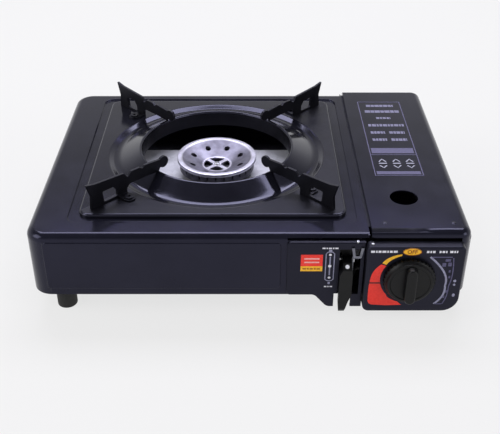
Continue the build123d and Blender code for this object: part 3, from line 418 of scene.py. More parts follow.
plasticLooks = {
    "mouldedAbs": {"dark": "#050506", "light": "#08080a", "grain": 0.35, "grainStrength": 0.3,
                   "grainDepth": 0.03, "roughness": (0.36, 0.46), "ior": 1.32},
    "mouldedNylon": {"dark": "#050506", "light": "#08080a", "grain": 0.35, "grainStrength": 0.3,
                     "grainDepth": 0.03, "roughness": (0.38, 0.48), "ior": 1.32},
    "mouldedRubber": {"dark": "#0a0a0a", "light": "#101010", "grain": 0.5, "grainStrength": 0.5,
                      "grainDepth": 0.05, "roughness": (0.62, 0.78), "ior": 1.5},
    "firedCeramic": {"dark": "#e4e0d2", "light": "#efece0", "grain": 0.8, "grainStrength": 0.1,
                     "grainDepth": 0.02, "roughness": (0.14, 0.22), "ior": 1.55},
    "mouldedAcetal": {"dark": "#dcdad2", "light": "#e6e4dd", "grain": 0.4, "grainStrength": 0.2,
                      "grainDepth": 0.02, "roughness": (0.36, 0.46), "ior": 1.48},
    "extrudedSilicone": {"dark": "#0b0b0d", "light": "#121214", "grain": 0.5, "grainStrength": 0.2,
                         "grainDepth": 0.02, "roughness": (0.5, 0.6), "ior": 1.42},
}
inkFilm = {"patch": 1.6, "grain": 0.4, "grainStrength": 0.15, "grainDepth": 0.01, "roughness": (0.38, 0.5),
           "ior": 1.46}
inkLooks = {
    "red": {"dark": "#ef2f22", "light": "#f8392a"},
    "yellow": {"dark": "#f5b31a", "light": "#ffc62c"},
    "darkYellow": {"dark": "#8a4a08", "light": "#9c560c"},
    "white": {"dark": "#dcdce2", "light": "#ececf2"},
    "grey": {"dark": "#8a8aa2", "light": "#9c9cb4"},
    "violet": {"dark": "#4c496a", "light": "#5a5778"},
    "faded": {"dark": "#6d6b86", "light": "#7d7b96"},
    "dullWhite": {"dark": "#9b9bac", "light": "#aeaebd"},
    "pink": {"dark": "#f2a49c", "light": "#f8bab2"},
    "black": {"dark": "#0a0a0d", "light": "#0f0f13"},
}

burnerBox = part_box("burner_cap")
burnerCentre = (burnerBox[0] + burnerBox[1]) / 2
enamels = {key: bakedEnamel(key + "BakedEnamel", look) for key, look in enamelLooks.items()}
turnedAluminium = turnedMetal("turnedAluminium", burnerLook, burnerCentre)
metals = {key: grainedMetal(key, look) for key, look in metalLooks.items()}
zincs = {key: zincPlated(key, look) for key, look in zincLooks.items()}
plastics = {key: mouldedSkin(key, look) for key, look in plasticLooks.items()}
inks = {key: screenInk(key + "ScreenInk", look) for key, look in inkLooks.items()}
print("materials made:", len(bpy.data.materials))


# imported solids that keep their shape

rubberFeet = ["foot_front_left", "foot_back_left", "foot_front_right", "foot_back_right"]
keptSolids = [
    # the partition gets this dark enamel as painted shade, so that it shows black inside the body
    (enamels["base"], ["base_plate", "bay_tray", "partition"]),
    (enamels["trivet"], ["trivet_rivets"]),
    (zincs["zincPlatedSheet"], ["burner_bracket", "locating_plate"]),
    (zincs["dullZincPlatedSheet"], ["bay_bulkhead", "lid_hinge_brackets", "slide_guides", "lever_bracket",
                                    "piezo_clip", "pusher_slide"]),
    (metals["dieCastAluminium"], ["mixing_tube", "regulator_body", "diaphragm_cover"]),
    # the bowl's dark colour is painted shade
    (metals["shadeDarkenedCasting"], ["burner_bowl"]),
    (metals["turnedBrass"], ["gas_jet", "valve_spindle", "inlet_fitting"]),
    (metals["drawnSteel"], ["foot_screws", "panel_screws", "bracket_screws", "burner_screw",
                            "regulator_screws", "cover_screws", "lid_hinge_pins", "lever_pivot_pin",
                            "lever_drive_pin", "electrode"]),
    (metals["rolledSpringSteel"], ["lever_catch"]),
    (plastics["mouldedAcetal"], ["spindle_cam"]),
    (plastics["mouldedAbs"], ["piezo_body", "piezo_plunger"]),
    (plastics["firedCeramic"], ["electrode_insulator"]),
    (plastics["extrudedSilicone"], ["ignition_lead"]),
    (plastics["mouldedRubber"], ["inlet_seal"] + rubberFeet),
]
for material, nodes in keptSolids:
    for node in nodes:
        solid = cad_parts[node]
        solid.data.materials.clear()
        solid.data.materials.append(material)
print("packed solids given their finish:", sum(len(nodes) for material, nodes in keptSolids))


# body and lid

# spread and root are how far a plate reaches past the pressed field's sides and into the wall
bodyShellLook = {"deckRound": 0.7, "deckMargin": 2.0, "rearMargin": 8.0, "fieldMargin": 14.0,
                 "fieldGap": 5.0, "fieldLow": 27.0, "fieldHigh": 70.0, "fieldRise": 0.8,
                 "fieldCorner": 3.0, "fieldRound": 0.65, "fieldSpread": 0.25, "fieldRoot": 0.5,
                 "oldSpread": 0.05, "oldRoot": 0.02}


def makeField(look, spread, front, back):           # a plate with round corners on the front wall
    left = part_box("body_shell")[0].x / mm + look["fieldMargin"] - spread
    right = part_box("control_panel")[0].x / mm - look["fieldGap"] + spread
    width, height = right - left, look["fieldHigh"] - look["fieldLow"] + 2 * spread
    middle = Vector((left + right, front + back, look["fieldHigh"] + look["fieldLow"])) / 2 * mm
    plate = blockPiece("field", (width, back - front, height), middle)
    pickEdges(plate, lambda p: abs(p.x - middle.x) > nearEdge * width / 2 * mm
              and abs(p.z - middle.z) > nearEdge * height / 2 * mm)
    bpy.ops.mesh.bevel(offset=(look["fieldCorner"] + spread) * mm, segments=10, affect="EDGES")
    stopEdit()
    return plate


def makeBodyShell(look):
    piece = copyOfSolid("bodyShell", "body_shell")
    low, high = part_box("body_shell")
    deck, rear = high.z - look["deckMargin"] * mm, high.y - look["rearMargin"] * mm
    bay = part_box("partition")[0].x - look["deckMargin"] * mm
    pickSharp(piece, lambda p: p.z > deck and abs(p.y) < rear and p.x < bay)
    bpy.ops.mesh.bevel(offset=look["deckRound"] * mm, segments=3, affect="EDGES")
    stopEdit()
    face = low.y / mm
    wall = face + look["fieldRise"]
    # the pressed field is cut off and made again with soft edges
    cut(piece, makeField(look, look["oldSpread"], face - 1, wall + look["oldRoot"]))
    field = makeField(look, look["fieldSpread"], face, wall + look["fieldRoot"])
    pickEdges(field, lambda p: p.y < low.y + look["fieldRise"] / 4 * mm)
    bpy.ops.mesh.bevel(offset=look["fieldRound"] * mm, segments=4, affect="EDGES")
    stopEdit()
    cut(piece, field, "UNION")
    shade(piece)
    finishPiece(piece, enamels["body"], "chassis", "body_shell")


lidLook = {"roll": 6.0, "rollLength": 8.0, "past": 2.0, "tabs": (-91.25, 117.75), "tabWidth": 1.2,
           "tabSpare": 0.3, "tabShow": 0.01}


def makeLid(look):
    piece = copyOfSolid("cartridgeLid", "lid")
    low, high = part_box("lid_hinge_pins")
    height = (low.z + high.z) / 2
    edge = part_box("lid")[1].x
    roll, past = look["roll"], look["past"]
    size = (roll + past, look["tabWidth"] + look["tabSpare"], roll + past / 2)
    for tab in look["tabs"]:                    # the hinge tabs end under the rolled edge
        middle = (tab + look["tabWidth"] / 2) * mm
        spare = blockPiece("spare", size, (edge - (roll - past) / 2 * mm, middle, height + size[2] / 2 * mm))
        cut(spare, rodPiece("rolled", roll + look["tabShow"], look["rollLength"],
                            (edge - roll * mm, middle, height), 96, "Y"))
        cut(piece, spare)
    shade(piece)
    finishPiece(piece, enamels["body"], "lid", "lid")


makeBodyShell(bodyShellLook)
makeLid(lidLook)
print("body and lid made")


# control panel and valve cover

def makePanels():
    panel = copyOfSolid("controlPanel", "control_panel")
    shade(panel)
    finishPiece(panel, enamels["panel"], "chassis", "control_panel")
    cover = copyOfSolid("valveCover", "valve_cover")
    shade(cover)
    finishPiece(cover, enamels["panel"], "chassis", "valve_cover")


knobLook = {"turns": 144, "ribDepth": 0.55, "ribFaces": 2, "ribRadius": 19.3, "ribBand": (0.4, 2.7),
            "gripStart": 4.0, "gripWidth": 9.4, "gripLength": 32.4, "gripCorner": 4.3,
            "gripTaper": (0.86, 0.97), "gripRound": 1.3, "smooth": 34,
            "section": [(17.2, 0.2), (17.2, 0.0), (19.2, 0.0), (19.45, 0.3), (19.45, 2.8), (19.1, 3.4),
                        (18.3, 4.0), (17.6, 6.0), (16.9, 6.4), (15.6, 6.4), (15.0, 5.9), (0.3, 5.6)]}
leverLook = {"edgeRound": 0.7}


def makeKnob(look):                                 # made lying on its back, then turned to the front
    low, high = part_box("knob")
    centre = (low + high) / 2
    height = (high.y - low.y) / mm
    piece = turnedPiece("gasKnob", look["section"], look["turns"], Vector())
    step, faces = 2 * math.pi / look["turns"], look["ribFaces"]
    bandLow, bandHigh = look["ribBand"]
    pickFaces(piece, lambda p, way: abs(way.z) < 0.3 and p.xy.length > look["ribRadius"] * mm
              and bandLow * mm < p.z < bandHigh * mm
              and int((math.atan2(p.y, p.x) + math.pi) / step) % (2 * faces) < faces)
    bpy.ops.mesh.extrude_region_shrink_fatten(TRANSFORM_OT_shrink_fatten={"value": look["ribDepth"] * mm})
    stopEdit()
    start, width, length = look["gripStart"], look["gripWidth"], look["gripLength"]
    grip = blockPiece("grip", (width, length, height - start), (0, 0, (height + start) / 2 * mm))
    pickSharp(grip, lambda p: abs(p.x) > nearEdge * width / 2 * mm and abs(p.y) > nearEdge * length / 2 * mm)
    bpy.ops.mesh.bevel(offset=look["gripCorner"] * mm, segments=8, affect="EDGES")
    stopEdit()
    pickFaces(grip, lambda p, way: way.z > 0.9)
    bpy.ops.transform.resize(value=(*look["gripTaper"], 1), center_override=(0, 0, height * mm))
    stopEdit()
    pickSharp(grip, lambda p: p.z > nearEdge * height * mm)
    bpy.ops.mesh.bevel(offset=look["gripRound"] * mm, segments=4, affect="EDGES")
    stopEdit()
    piece = join([piece, grip])
    piece.rotation_euler = (math.pi / 2, 0, 0)
    piece.location = (centre.x, high.y, centre.z)
    settle(piece)
    shade(piece, look["smooth"])
    finishPiece(piece, plastics["mouldedAbs"], "knob", "knob")


def makeLever(look):
    piece = copyOfSolid("lockLever", "lever")
    easeAll(piece, look["edgeRound"], 3)
    shade(piece)
    finishPiece(piece, plastics["mouldedNylon"], "lever", "lever")


makePanels()
makeKnob(knobLook)
makeLever(leverLook)
print("controls made")


# drip pan and fins

dripPanLook = {"turns": 128, "sheet": 1.0, "corner": 9.0, "roll": 1.8, "rim": 78.3, "skirt": 3.4,
               "mouth": 95.0, "mouthDepth": 20.0, "shadedPast": (0.1, 0.6),
               "hole": [(65.0, 71.1), (65.0, 83.4), (65.3, 84.5), (66.0, 85.1), (66.8, 85.15), (67.6, 84.8)],
               "slope": [(72.0, 82.5), (80.0, 78.5), (83.4, 76.9), (85.2, 76.2), (87.0, 76.0)],
               "step": [(89.4, 76.0), (90.4, 76.3), (93.4, 78.0), (94.4, 78.28), (95.6, 78.28)],
               "underside": [(95.6, 77.35), (94.6, 77.3), (93.8, 77.1), (90.8, 75.3), (89.7, 75.0),
                             (86.9, 75.0), (84.9, 75.2), (83.0, 75.9), (79.5, 77.6), (71.5, 81.6),
                             (67.3, 83.7), (66.6, 83.9), (66.1, 83.7), (66.0, 83.2), (66.0, 71.1),
                             (65.0, 71.1)]}
finLook = {"edgeRound": 0.45}


def makeDripPan(look):
    low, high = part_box("drip_pan")
    middle, half = (low + high) / 2, (high - low) / 2
    rim, skirt = look["rim"] * mm, look["skirt"] * mm
    piece = blockPiece("dripPan", (2 * half.x / mm, 2 * half.y / mm, look["skirt"]),
                       (middle.x, middle.y, rim - skirt / 2))
    pickSharp(piece, lambda p: abs(p.x - middle.x) > nearEdge * half.x
              and abs(p.y - middle.y) > nearEdge * half.y)
    bpy.ops.mesh.bevel(offset=look["corner"] * mm, segments=10, affect="EDGES")
    stopEdit()
    pickSharp(piece, lambda p: p.z > rim - skirt / 4)
    bpy.ops.mesh.bevel(offset=look["roll"] * mm, segments=5, affect="EDGES")
    stopEdit()
    pickFaces(piece, lambda p, way: way.z < -0.9)
    bpy.ops.mesh.inset(thickness=look["sheet"] * mm)
    hollow = skirt - look["sheet"] * mm
    bpy.ops.mesh.extrude_region_move(TRANSFORM_OT_translate={"value": (0, 0, hollow)})
    stopEdit()
    x, y, turns = burnerCentre.x, burnerCentre.y, look["turns"]
    cut(piece, rodPiece("mouth", look["mouth"], look["mouthDepth"], (x, y, rim), turns))
    section = look["hole"] + look["slope"] + look["step"] + look["underside"]
    dish = turnedPiece("dish", section, turns, burnerCentre)
    outwards(dish)
    cut(piece, dish, "UNION")
    shade(piece)
    finishPiece(piece, enamels["pan"], "pan", "drip_pan")
    piece.data.materials.append(enamels["trivet"])          # painted shade: the inside of the collar gets the darker fin enamel, as it lies in shade
    # faces inside the collar's wall take the darker enamel as painted shade
    (wallRadius, wallTop), (past, above) = look["hole"][1], look["shadedPast"]
    for face in piece.data.polygons:
        reach = (face.center - burnerCentre).xy.length
        if reach < (wallRadius + past) * mm and face.center.z < (wallTop + above) * mm:
            face.material_index = 1


def makeFin(corner, look):
    depth, side = corner.split("_")
    piece = copyOfSolid("fin" + depth.capitalize() + side.capitalize(), "fin_" + corner)
    easeAll(piece, look["edgeRound"])
    shade(piece)
    finishPiece(piece, enamels["trivet"], "pan", "fin_" + corner)


makeDripPan(dripPanLook)
for corner in ("front_left", "front_right", "back_left", "back_right"):
    makeFin(corner, finLook)
print("pan and fins made")


# burner

burnerCapLook = {"turns": 128, "holes": 8, "holeStart": 22.5, "holePlace": 22.5, "holeRadius": 2.5,
                 "holeMiddle": 70.0, "holeDepth": 20.0, "webRadius": 11.6, "hub": 3.8, "webBar": 3.6,
                 "webBarLength": 40.0, "webTurns": (45, 135), "webTop": 65.2, "webCut": 6.0, "webLeft": 8.0,
                 "edgeRound": 0.2, "edgeAngle": 50, "smooth": 30,
                 "section": [(1.5, 63.6), (13.2, 63.6), (30.0, 69.9), (31.3, 70.2), (31.3, 71.0),
                             (34.7, 71.0), (35.0, 71.3), (35.0, 73.2), (34.7, 73.8), (34.1, 74.0),
                             (31.6, 74.0), (30.9, 73.8), (30.2, 73.2), (14.2, 65.7), (13.2, 65.3),
                             (12.4, 65.2), (1.5, 65.2)]}


def makeBurnerCap(look):
    section = look["section"]
    piece = turnedPiece("burnerCap", section + section[:1], look["turns"], burnerCentre)
    outwards(piece)
    x, y = burnerCentre.x, burnerCentre.y
    reach = look["holePlace"] * mm
    for i in range(look["holes"]):
        angle = math.radians(look["holeStart"] + 360 * i / look["holes"])
        place = (x + reach * math.cos(angle), y + reach * math.sin(angle), look["holeMiddle"] * mm)
        cut(piece, rodPiece("hole", look["holeRadius"], look["holeDepth"], place, 20))
    place = (x, y, look["webTop"] * mm)
    windows = rodPiece("windows", look["webRadius"], look["webCut"], place, 64)
    cut(windows, rodPiece("hub", look["hub"], look["webLeft"], place, 32))
    for turn in look["webTurns"]:
        cut(windows, blockPiece("bar", (look["webBarLength"], look["webBar"], look["webLeft"]), place, turn))
    cut(piece, windows)
    easeAll(piece, look["edgeRound"], 2, look["edgeAngle"])
    shade(piece, look["smooth"])
    finishPiece(piece, turnedAluminium, "chassis", "burner_cap")


makeBurnerCap(burnerCapLook)
print("burner made")


# screen prints

inkDepth = 0.12
pipRise = 0.6            # the pips stand that much over the lid's top
printFaces = {"cover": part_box("valve_cover")[0].y, "panel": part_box("control_panel")[0].y,
              "lid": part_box("lid")[1].z - pipRise * mm}


def bar(left, right, low, high):
    return [(left, low), (right, low), (right, high), (left, high)]


def arc(centre, radius, start, end, steps):         # degrees, anticlockwise from the right
    angles = [math.radians(start + (end - start) * i / steps) for i in range(steps + 1)]
    return [(centre[0] + radius * math.cos(a), centre[1] + radius * math.sin(a)) for a in angles]


def oval(centre, wide, high, steps=40):
    angles = [2 * math.pi * i / steps for i in range(steps)]
    return [(centre[0] + wide * math.cos(a), centre[1] + high * math.sin(a)) for a in angles]


def bend(first, middle, last, steps=12):            # a smooth stretch through three points
    points = []
    for i in range(steps + 1):
        t = i / steps
        weights = (2 * (t - 0.5) * (t - 1), -4 * t * (t - 1), 2 * t * (t - 0.5))
        x, y = (sum(w * p[axis] for w, p in zip(weights, (first, middle, last))) for axis in (0, 1))
        points.append((x, y))
    return points


def line(points, width):                            # a stroke of even width along a run of points
    left, right = [], []
    for i, (x, y) in enumerate(points):
        ahead, behind = points[min(i + 1, len(points) - 1)], points[max(i - 1, 0)]
        along = Vector((ahead[0] - behind[0], ahead[1] - behind[1])).normalized() * width / 2
        left.append((x - along.y, y + along.x))
        right.append((x + along.y, y - along.x))
    return left + right[::-1]


def frameOf(left, right, low, high, width):         # the outline of a box
    return [bar(left, right, low, high), bar(left + width, right - width, low + width, high - width)]


def dashes(left, right, middle, height, lengths, gap=0.7):      # a row of blocks that reads as small print
    blocks, x, i = [], left, 0
    while x < right - 0.6:                          # no dash is shorter than this
        end = min(x + lengths[i % len(lengths)], right)
        blocks.append(bar(x, end, middle - height / 2, middle + height / 2))
        x, i = end + gap, i + 1
    return blocks


def printOn(name, outlines, ink, face, body, slot, facing="front"):
    drawing = bpy.data.curves.new(name, "CURVE")
    drawing.dimensions = "2D"
    drawing.fill_mode = "BOTH"
    drawing.extrude = inkDepth / 2 * mm
    for outline in outlines:
        stroke = drawing.splines.new("POLY")
        stroke.points.add(len(outline) - 1)
        for point, (x, y) in zip(stroke.points, outline):
            point.co = (x * mm, y * mm, 0, 1)
        stroke.use_cyclic_u = True
    layPrint(bpy.data.objects.new(name, drawing), ink, face, body, facing)


def layPrint(drawn, ink, face, body, facing="front"):
    bpy.context.scene.collection.objects.link(drawn)
    activate(drawn)
    bpy.ops.object.convert(target="MESH")
    piece = bpy.context.object
    if facing == "front":
        piece.rotation_euler = (math.pi / 2, 0, 0)
        piece.location = (0, face - inkDepth / 2 * mm, 0)
    elif facing == "slant":                         # face holds the lean in degrees and the place
        lean, place = face
        piece.rotation_euler = (math.radians(lean), 0, 0)
        piece.location = place
    else:
        piece.location = (0, 0, face + inkDepth / 2 * mm)
    settle(piece)
    return finishPiece(piece, inks[ink], body)


def printWord(name, word, height, centre, ink, face, body, slot):
    drawing = bpy.data.curves.new(name, "FONT")
    drawing.body = word
    drawing.size = height * mm
    drawing.extrude = inkDepth / 2 * mm
    drawing.align_x = "CENTER"
    drawing.align_y = "CENTER"
    drawing.offset = 0.02 * height * mm             # a little bolder than the face is drawn
    piece = layPrint(bpy.data.objects.new(name, drawing), ink, face, body)
    piece.location = (centre[0] * mm, 0, centre[1] * mm)
    settle(piece)


coverPrintLook = {"knob": (122.5, 43.0), "off": (122.7, 68.3), "offSize": (7.2, 3.3), "offRim": 0.5,
                  "word": (122.7, 68.2), "wordHeight": 4.4,
                  "dashes": [(91.5, 112.5, 68.5, 1.9, (3.0, 1.2, 2.2)), (133.5, 141.0, 68.3, 1.9, (1.9, 1.3)),
                             (143.0, 149.0, 68.3, 1.9, (1.5, 2.0)), (151.0, 157.0, 68.3, 1.9, (2.4, 1.2))],
                  "yellow": [((115.3, 66.2), (106.4, 63.2), (101.0, 57.9)),
                             ((104.0, 56.4), (108.4, 61.3), (115.3, 64.8))],
                  "redTip": (118.9, 17.6), "redInner": [(22.2, 146, 222, 14), (23.2, 228, 252, 6)],
                  "redLow": [(106.0, 17.2), (95.2, 18.0), (93.2, 19.2)],
                  "redOuter": [((92.3, 21.5), (92.2, 36.0), (93.6, 46.8)),
                               ((94.0, 48.0), (96.4, 52.6), (100.2, 56.6))],
                  "divider": (92.2, 100.9, 38.6, 39.7),
                  "stroke": [((136.8, 63.6), (148.4, 50.0), (151.2, 38.0)),
                             ((151.0, 36.5), (150.2, 27.0), (144.2, 18.6))], "strokeWidth": 1.5,
                  "beside": [((154.4, 62.6), (155.4, 48.0), (154.0, 37.0)),
                             ((153.8, 35.5), (153.2, 26.0), (150.6, 18.6))], "besideWidth": 0.8,
                  "besideBars": [(144.6, 150.0, 18.2, 19.0), (138.0, 153.6, 63.0, 63.8),
                                 (146.6, 149.4, 54.6, 58.0), (151.0, 153.6, 55.0, 58.4),
                                 (148.6, 152.6, 59.4, 61.6)],
                  "ticks": [(152.2, 49.0), (152.6, 43.6), (152.0, 29.6), (150.4, 24.4)],
                  "tickSize": (1.4, 2.2),
                  "dots": [((158.0, 41.0), 1.1, 1.3), ((158.0, 37.4), 0.9, 1.1), ((158.6, 27.2), 1.1, 1.6)]}


def printCover(look):                               # the flame scale round the knob
    onFace = {"face": printFaces["cover"], "body": "chassis", "slot": "panel_enamel"}
    onInk = {**onFace, "face": onFace["face"] - inkDepth * mm}
    off, (wide, high), rim = look["off"], look["offSize"], look["offRim"]
    printOn("offOval", [oval(off, wide, high)], "yellow", **onFace)
    printOn("offOvalRim", [oval(off, wide, high), oval(off, wide - rim, high - rim)], "darkYellow", **onInk)
    printWord("offWord", "OFF", look["wordHeight"], look["word"], "darkYellow", **onInk)
    printOn("coverDashes", [dash for row in look["dashes"] for dash in dashes(*row)], "white", **onFace)
    outer, inner = (bend(*points) for points in look["yellow"])
    printOn("scaleYellow", [outer + inner], "yellow", **onFace)
    redEdge = [point for radius, *turn in look["redInner"] for point in arc(look["knob"], radius, *turn)]
    redEdge += [look["redTip"]] + look["redLow"]
    redEdge += [point for points in look["redOuter"] for point in bend(*points)]
    printOn("scaleRed", [redEdge], "red", **onFace)
    printOn("scaleDivider", [bar(*look["divider"])], "black", **onInk)
    upper, lower = (bend(*points) for points in look["stroke"])
    printOn("scaleStroke", [line(upper + lower, look["strokeWidth"])], "grey", **onFace)
    upper, lower = (bend(*points) for points in look["beside"])
    faint = [line(upper + lower, look["besideWidth"])] + [bar(*sides) for sides in look["besideBars"]]
    tickWidth, tickHeight = look["tickSize"]
    faint += [bar(x, x + tickWidth, z, z + tickHeight) for x, z in look["ticks"]]
    printOn("scaleGrey", faint, "violet", **onFace)
    printOn("scaleMarks", [oval(*dot) for dot in look["dots"]], "grey", **onFace)


panelPrintLook = {"labelRed": (39.4, 56.2, 50.6, 61.4), "labelYellow": (39.4, 56.2, 45.9, 50.6),
                  "labelBars": [(42.0, 53.6, 57.0, 58.3), (42.0, 53.6, 53.7, 55.0)],
                  "labelDashes": (41.0, 54.6, 48.2, 1.1, (2.6, 1.4)),
                  "can": [(58.6, 38.2), (58.6, 62.2), (60.0, 63.9), (63.6, 63.9), (65.0, 62.2), (65.0, 38.2),
                          (63.6, 36.8), (60.0, 36.8), (58.6, 38.2)], "canWidth": 0.7,
                  "canBars": [(60.6, 63.0, 64.4, 66.2), (61.3, 62.3, 42.0, 59.5), (60.9, 62.7, 33.4, 35.6)],
                  "canDots": [((61.8, 61.4), 1.1, 1.0), ((61.8, 39.8), 1.1, 1.0), ((61.8, 50.8), 1.3, 1.3)],
                  "dashes": [(55.4, 68.4, 67.4, 1.2, (2.4, 1.1)), (58.2, 65.8, 31.0, 1.1, (2.0, 1.0))]}


def printPanel(look):                               # the small label and the cartridge sign by the lever
    onFace = {"face": printFaces["panel"], "body": "chassis", "slot": "panel_enamel"}
    onInk = {**onFace, "face": onFace["face"] - inkDepth * mm}
    printOn("labelRed", [bar(*look["labelRed"])], "red", **onFace)
    printOn("labelYellow", [bar(*look["labelYellow"])], "yellow", **onFace)
    printOn("labelBars", [bar(*sides) for sides in look["labelBars"]], "pink", **onInk)
    printOn("labelDashes", dashes(*look["labelDashes"]), "darkYellow", **onInk)
    sign = [line(look["can"], look["canWidth"])] + [bar(*sides) for sides in look["canBars"]]
    printOn("cartridgeSign", sign, "grey", **onFace)
    printOn("cartridgeDots", [oval(*dot) for dot in look["canDots"]], "white", **onInk)
    printOn("panelDashes", [dash for row in look["dashes"] for dash in dashes(*row)], "white", **onFace)


# depths are measured from the lid's front, and a row is its left, right, depth, height, lengths and gap
lidPrintLook = {"sides": (105.3, 146.4), "ends": (84.8, 228.0), "frameWidth": 0.8,
                "rows": [(113.0, 139.0, 219.0, 4.4, (4.2, 3.0), 0.5),
                         (110.5, 143.0, 206.5, 5.0, (5.0, 3.4), 0.5),
                         (119.5, 133.0, 192.5, 3.6, (3.0, 2.2), 0.6),
                         (110.5, 143.4, 177.5, 4.6, (2.6, 3.8, 1.8), 0.7),
                         (111.0, 124.0, 163.0, 4.6, (2.6, 2.0), 0.6),
                         (128.0, 142.0, 163.0, 4.6, (3.2, 2.2), 0.6),
                         (111.0, 124.0, 149.0, 4.6, (2.6, 2.0), 0.6),
                         (128.0, 142.0, 149.0, 4.6, (3.2, 2.2), 0.6)],
                "bands": [(2.0, 123.5, 133.0), (0.9, 120.6, 121.4), (2.0, 87.0, 92.0)],
                "signs": (114.5, 126.5, 138.0), "signDepth": 104.0, "signBar": (3.4, 1.0, 2.4),
                "arrowReach": 3.0, "arrows": [(4.5, 9.0), (-2.0, -6.0)], "arrowWidth": 1.1}


def printLid(look):                                 # outlined panel with rows of small print and simple signs
    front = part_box("lid")[0].y / mm
    onLid = {"face": printFaces["lid"], "body": "lid", "slot": "body_enamel", "facing": "top"}
    (left, right), (near, far) = look["sides"], look["ends"]
    frameLines = frameOf(left, right, front + near, front + far, look["frameWidth"])
    printOn("lidPanelFrame", frameLines, "violet", **onLid)
    bands = [bar(left + margin, right - margin, front + low, front + high)
             for margin, low, high in look["bands"]]
    printOn("lidPanelBands", bands, "violet", **onLid)
    rows = []
    for start, end, depth, *rest in look["rows"]:
        rows += dashes(start, end, front + depth, *rest)
    printOn("lidPanelRows", rows, "faded", **onLid)
    signs = []
    half, low, high = look["signBar"]
    reach, y = look["arrowReach"], front + look["signDepth"]
    for x in look["signs"]:
        signs.append(bar(x - half, x + half, y + low, y + high))
        for foot, tip in look["arrows"]:
            arrow = [(x - reach, y + foot), (x, y + tip), (x + reach, y + foot)]
            signs.append(line(arrow, look["arrowWidth"]))
    printOn("lidPanelSigns", signs, "dullWhite", **onLid)


# a white dot laid where a highlight falls on the lever: a painted highlight
leverHighlightLook = {"dot": (74.8, 53.6), "radius": 1.6, "behind": 2.36, "lean": 50.0}


def paintLeverHighlight(look):                               # a white dot on the slant over the grip, as a painted highlight
    (x, z), radius, lean = look["dot"], look["radius"], math.radians(look["lean"])
    lift = inkDepth / 2 * mm
    place = (0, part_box("lever")[0].y + look["behind"] * mm - lift * math.sin(lean),
             z * mm + lift * math.cos(lean))
    printOn("leverPaintedHighlight", [oval((x, 0), radius, radius, 24)], "white", (look["lean"], place), "lever",
            "lever_plastic", "slant")


printCover(coverPrintLook)
printPanel(panelPrintLook)
printLid(lidPrintLook)
paintLeverHighlight(leverHighlightLook)
print("screen prints laid")


# room, camera and light

floorLook = {"size": 6.0, "sink": 0.2, "colour": "#dedddb", "shown": "#f5f5f5", "lift": 0.8,
             "fade": (0.7, 1.5)}
worldLook = {"colour": "#e8e8f2", "level": 0.56, "overhead": 0.2, "dimmed": (0.55, 0.95),
             "shown": "#f6f6f6", "shownOverhead": 0.16, "shownDimmed": (0.26, 0.66)}
lampLooks = {
    "overheadSoftbox": {"place": (0.0, 0.72, 1.35), "aim": (0.0, 0.0, 0.05), "size": (1.5, 0.7),
                        "power": 23, "colour": "#f2f2ff"},
    "backStrip": {"place": (0.0, 1.55, 1.25), "aim": (0.0, 0.0, 0.07), "size": (1.3, 0.07),
                  "power": 0.7, "colour": "#b9b4ff"},
    "leftSoftbox": {"place": (-1.3, -0.6, 1.0), "aim": (0.0, 0.0, 0.05), "size": (0.9, 0.9),
                    "power": 11, "colour": "#ffffff"},
    "rightFill": {"place": (1.4, -0.9, 0.8), "aim": (0.0, 0.0, 0.05), "size": (0.8, 0.8),
                  "power": 7, "colour": "#ffffff"},
}
cameraLook = {"place": (0.0005, -0.64375, 0.436), "pitch": 33.0, "lens": 60.8, "sensor": 36.0}


def seenBy(tree):                                   # the eye, mirrors and glass see the pale backdrop
    path = addNode(tree, "ShaderNodeLightPath")
    either = addNode(tree, "ShaderNodeMath", {"operation": "MAXIMUM"},
                     {0: path.outputs["Is Camera Ray"], 1: path.outputs["Is Glossy Ray"]})
    return addNode(tree, "ShaderNodeMath", {"operation": "MAXIMUM"},
                   {0: either.outputs[0], 1: path.outputs["Is Transmission Ray"]}).outputs[0]


def makeFloor(look):
    bpy.ops.object.select_all(action="DESELECT")
    bpy.ops.mesh.primitive_plane_add(size=look["size"], location=(0, 0, -look["sink"] * mm))
    floor = bpy.context.object
    floor.name = "studioFloor"
    # matt paper off a roll: it scatters light evenly, and the eye sees it lifted towards white
    material, tree, place = newMaterial("rolledMattPaper")
    reach = addNode(tree, "ShaderNodeVectorMath", {"operation": "LENGTH"}, {0: place})
    near, far = look["fade"]                            # from near to far the paper runs into the backdrop
    fade = addNode(tree, "ShaderNodeMapRange", {1: near, 2: far, 3: look["lift"], 4: 1.0},
                   {0: reach.outputs["Value"]})
    lift = addNode(tree, "ShaderNodeMath", {"operation": "MULTIPLY"}, {0: seenBy(tree), 1: fade.outputs[0]})
    paper = addNode(tree, "ShaderNodeBsdfDiffuse", {"Color": linear(look["colour"])})
    white = addNode(tree, "ShaderNodeEmission", {"Color": linear(look["shown"]), "Strength": 1.0})
    mixed = addNode(tree, "ShaderNodeMixShader",
                    links={0: lift.outputs[0], 1: paper.outputs[0], 2: white.outputs[0]})
    floor.data.materials.append(finishMaterial(material, tree, mixed))


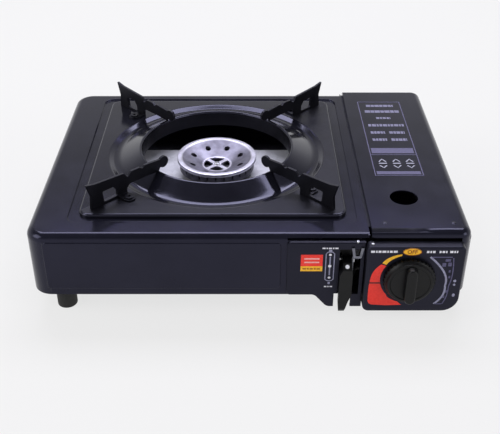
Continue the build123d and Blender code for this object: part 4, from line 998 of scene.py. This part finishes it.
def makeWorld(look):
    world = bpy.data.worlds.new("paleStudio")
    bpy.context.scene.world = world
    world.use_nodes = True
    tree = world.node_tree
    tree.nodes.clear()
    view = addNode(tree, "ShaderNodeTexCoord").outputs["Generated"]
    height = addNode(tree, "ShaderNodeSeparateXYZ", links={0: view}).outputs["Z"]
    walls, ceiling = look["dimmed"]                     # walls pale, ceiling dark between the lamps
    light = addNode(tree, "ShaderNodeMapRange",
                    {1: walls, 2: ceiling, 3: look["level"], 4: look["overhead"]}, {0: height})
    room = addNode(tree, "ShaderNodeBackground", {"Color": linear(look["colour"])},
                   {"Strength": light.outputs[0]})
    walls, ceiling = look["shownDimmed"]
    shown = addNode(tree, "ShaderNodeMapRange",
                    {1: walls, 2: ceiling, 3: 1.0, 4: look["shownOverhead"]}, {0: height})
    backdrop = addNode(tree, "ShaderNodeBackground", {"Color": linear(look["shown"])},
                       {"Strength": shown.outputs[0]})
    mixed = addNode(tree, "ShaderNodeMixShader",
                    links={0: seenBy(tree), 1: room.outputs[0], 2: backdrop.outputs[0]})
    addNode(tree, "ShaderNodeOutputWorld", links={"Surface": mixed.outputs[0]})


def makeLamp(name, look):
    lamp = bpy.data.lights.new(name, "AREA")
    lamp.shape = "RECTANGLE"
    lamp.size, lamp.size_y = look["size"]
    lamp.energy = look["power"]
    lamp.color = linear(look["colour"])[:3]
    holder = bpy.data.objects.new(name, lamp)
    bpy.context.scene.collection.objects.link(holder)
    holder.location = look["place"]
    towards = Vector(look["aim"]) - Vector(look["place"])
    holder.rotation_euler = towards.to_track_quat("-Z", "Y").to_euler()


def makeCamera(look):
    data = bpy.data.cameras.new("studioView")
    data.sensor_fit = "HORIZONTAL"
    data.sensor_width = look["sensor"]
    data.lens = look["lens"]
    camera = bpy.data.objects.new("studioView", data)
    bpy.context.scene.collection.objects.link(camera)
    camera.location = look["place"]
    camera.rotation_euler = (math.radians(90 - look["pitch"]), 0, 0)
    bpy.context.scene.camera = camera


makeFloor(floorLook)
makeWorld(worldLook)
for name, look in lampLooks.items():
    makeLamp(name, look)
makeCamera(cameraLook)
bpy.context.scene.view_settings.view_transform = "Standard"
print("room, camera and light made")
